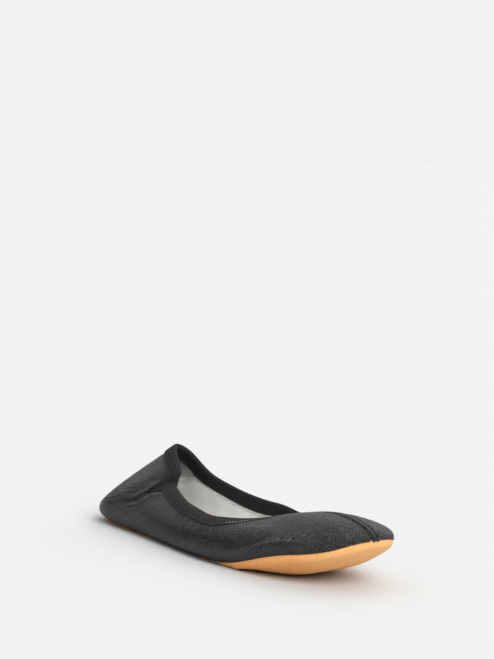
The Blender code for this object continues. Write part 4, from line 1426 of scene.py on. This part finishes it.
def crepe_material():
    """Honey-coloured crepe rubber: speckled crumb, dark pits, painted light towards the toe, darker near the
    floor.
    """
    s = Shader("tan_crepe")
    crumb = s.noise(1050.0, detail=4.0, roughness=0.70)
    clumps = s.noise(420.0, detail=4.0, roughness=0.6)
    patch = s.remap(s.noise(46.0, detail=3.0), 0.35, 0.7)
    place = s.split(s.place())
    colour = s.blend(patch, CREPE_HONEY, CREPE_LIGHT)
    # Paler towards the toe: painted light.
    colour = s.blend(s.remap(place["X"], *CREPE_PAINTED_LIGHT_X, 0.0, 0.80), colour, CREPE_TOE_PAINTED_LIGHT)
    colour = s.blend(s.remap(crumb, 0.52, 0.72, 0.0, 0.55), colour, CREPE_CRUMB)
    colour = s.blend(s.remap(crumb, 0.46, 0.30, 0.0, 0.6), colour, CREPE_PIT)
    # Darker near the floor, in clumps.
    darkening = s.math("MULTIPLY", s.remap(place["Z"], *CREPE_LOW_DARK_Z), s.remap(clumps, 0.35, 0.65))
    colour = s.blend(s.math("MULTIPLY", darkening, 0.7), colour, CREPE_LOW_DARK)
    relief = s.bump(clumps, 0.00035, 0.55)
    relief = s.bump(crumb, 0.00045, 0.8, relief)
    return s.finish(
        Base_Color=colour,
        Roughness=s.remap(clumps, 0.3, 0.7, 0.58, 0.78),
        Normal=relief,
        Specular_IOR_Level=0.35,
    )


def thread_material(name, dark, pale):
    """Twisted sewing thread with a slight gloss."""
    s = Shader(name)
    twist = s.noise(3200.0, detail=1.0)
    return s.finish(
        Base_Color=s.blend(s.remap(twist, 0.4, 0.65), dark, pale),
        Roughness=0.5,
        Normal=s.bump(twist, 0.00008, 0.5),
        Specular_IOR_Level=0.4,
    )


def floor_material():
    """Plain pale floor."""
    return Shader("pale_floor").finish(Base_Color=FLOOR_TONE, Roughness=0.8, Specular_IOR_Level=0.05)


# Stage, light and camera.


def add_floor(finish):
    """A plain floor under the shoe."""
    half = FLOOR_SIDE / 2
    mesh = bpy.data.meshes.new("floor")
    corners = [(-half, -half, 0.0), (half, -half, 0.0), (half, half, 0.0), (-half, half, 0.0)]
    mesh.from_pydata(corners, [], [(0, 1, 2, 3)])
    mesh.materials.append(finish)
    floor = bpy.data.objects.new("floor", mesh)
    bpy.context.scene.collection.objects.link(floor)


def add_sun(row):
    """A wide soft white light from far away."""
    light = bpy.data.lights.new(row.name, "SUN")
    light.energy = row.strength
    light.angle = math.radians(row.spread)
    lamp = bpy.data.objects.new(row.name, light)
    lamp.rotation_euler = (0.0, math.radians(90.0 - row.rise), math.radians(row.turn))
    bpy.context.scene.collection.objects.link(lamp)


def add_world():
    """Soft surroundings, brighter above and towards the backdrop, with a plain background behind the shoe."""
    world = bpy.data.worlds.new("studio")
    world.use_nodes = True
    s = Nodes(world.node_tree)
    way = s.add("ShaderNodeTexCoord").outputs["Generated"]
    height = s.add("ShaderNodeSeparateXYZ", None, Vector=way).outputs["Z"]
    tones = s.add("ShaderNodeValToRGB", None, Fac=height)
    for element, position, tone in zip(tones.color_ramp.elements, FILL_HEIGHTS, FILL_TONES):
        element.position = position
        element.color = (tone, tone, tone, 1.0)
    low, high = BACKDROP_SHARES
    share = s.add(
        "ShaderNodeMapRange", None, Value=s.dot(way, BACKDROP_WAY), From_Min=-1.0, To_Min=low, To_Max=high
    )
    fill = s.nodes["Background"]
    s.put(fill, "Color", tones.outputs["Color"])
    s.put(fill, "Strength", share.outputs["Result"])
    plain = s.add("ShaderNodeBackground", None, Color=BACKGROUND)
    choice = s.add("ShaderNodeMixShader", None, Fac=s.add("ShaderNodeLightPath").outputs["Is Camera Ray"])
    s.put(choice, 1, fill.outputs["Background"])
    s.put(choice, 2, plain.outputs["Background"])
    s.put(s.nodes["World Output"], "Surface", choice.outputs["Shader"])
    bpy.context.scene.world = world
    bpy.context.scene.view_settings.view_transform = "Standard"


def view_axes():
    """The camera's right, up and back directions with VIEW_AIM on its pixel, and its back before that."""
    turn, rise, roll = (math.radians(angle) for angle in (VIEW_TURN, VIEW_RISE, VIEW_ROLL))
    back = np.array([math.sin(turn) * math.cos(rise), -math.cos(turn) * math.cos(rise), math.sin(rise)])
    right = np.array([math.cos(turn), math.sin(turn), 0.0])
    axes = np.array(Matrix.Rotation(-roll, 3, "Z")) @ np.array([right, np.cross(back, right), back])
    across = VIEW_AIM_PIXEL[0] - PHOTO_SIZE[0] / 2
    above = PHOTO_SIZE[1] / 2 - VIEW_AIM_PIXEL[1]
    hinge = np.cross(-UP, unit(np.array([across, above, -VIEW_FOCAL_PIXELS])))
    tilt = Matrix.Rotation(math.asin(np.linalg.norm(hinge)), 3, hinge)
    return np.array(tilt) @ axes, back


def add_camera():
    """The photograph's camera, with no shift."""
    axes, back = view_axes()
    data = bpy.data.cameras.new("camera")
    data.sensor_fit = "VERTICAL"
    data.sensor_height = SENSOR
    data.sensor_width = SENSOR * PHOTO_SIZE[0] / PHOTO_SIZE[1]
    data.lens = VIEW_FOCAL_PIXELS / PHOTO_SIZE[1] * SENSOR
    data.clip_start = CLIP_START
    pose = np.eye(4)
    pose[:3, :3] = axes.T
    pose[:3, 3] = (np.array(VIEW_AIM) + SHIFT + VIEW_DISTANCE * back) * MM
    camera = bpy.data.objects.new("camera", data)
    camera.matrix_world = Matrix(pose.tolist())
    bpy.context.scene.collection.objects.link(camera)
    bpy.context.scene.camera = camera


def main():
    add_camera()
    add_world()
    for row in SUNS:
        add_sun(row)
    add_floor(floor_material())
    add_leather(leather_material())
    add_tape(elastic_material())
    add_lining(cotton_material("cotton_lining", LINING_PALE, LINING_DULL, True))
    add_sole(crepe_material())
    add_sock(cotton_material("pale_sock", SOCK_PALE, SOCK_DULL, False))
    thread = thread_material("black_thread", *BLACK_THREAD)
    add_stitches("outer_stitches", True, False, thread)
    add_stitches("pale_glint_stitches", True, True, thread_material("pale_glint_thread", *PALE_GLINT_THREAD))
    add_stitches("inner_stitches", False, False, thread)


main()
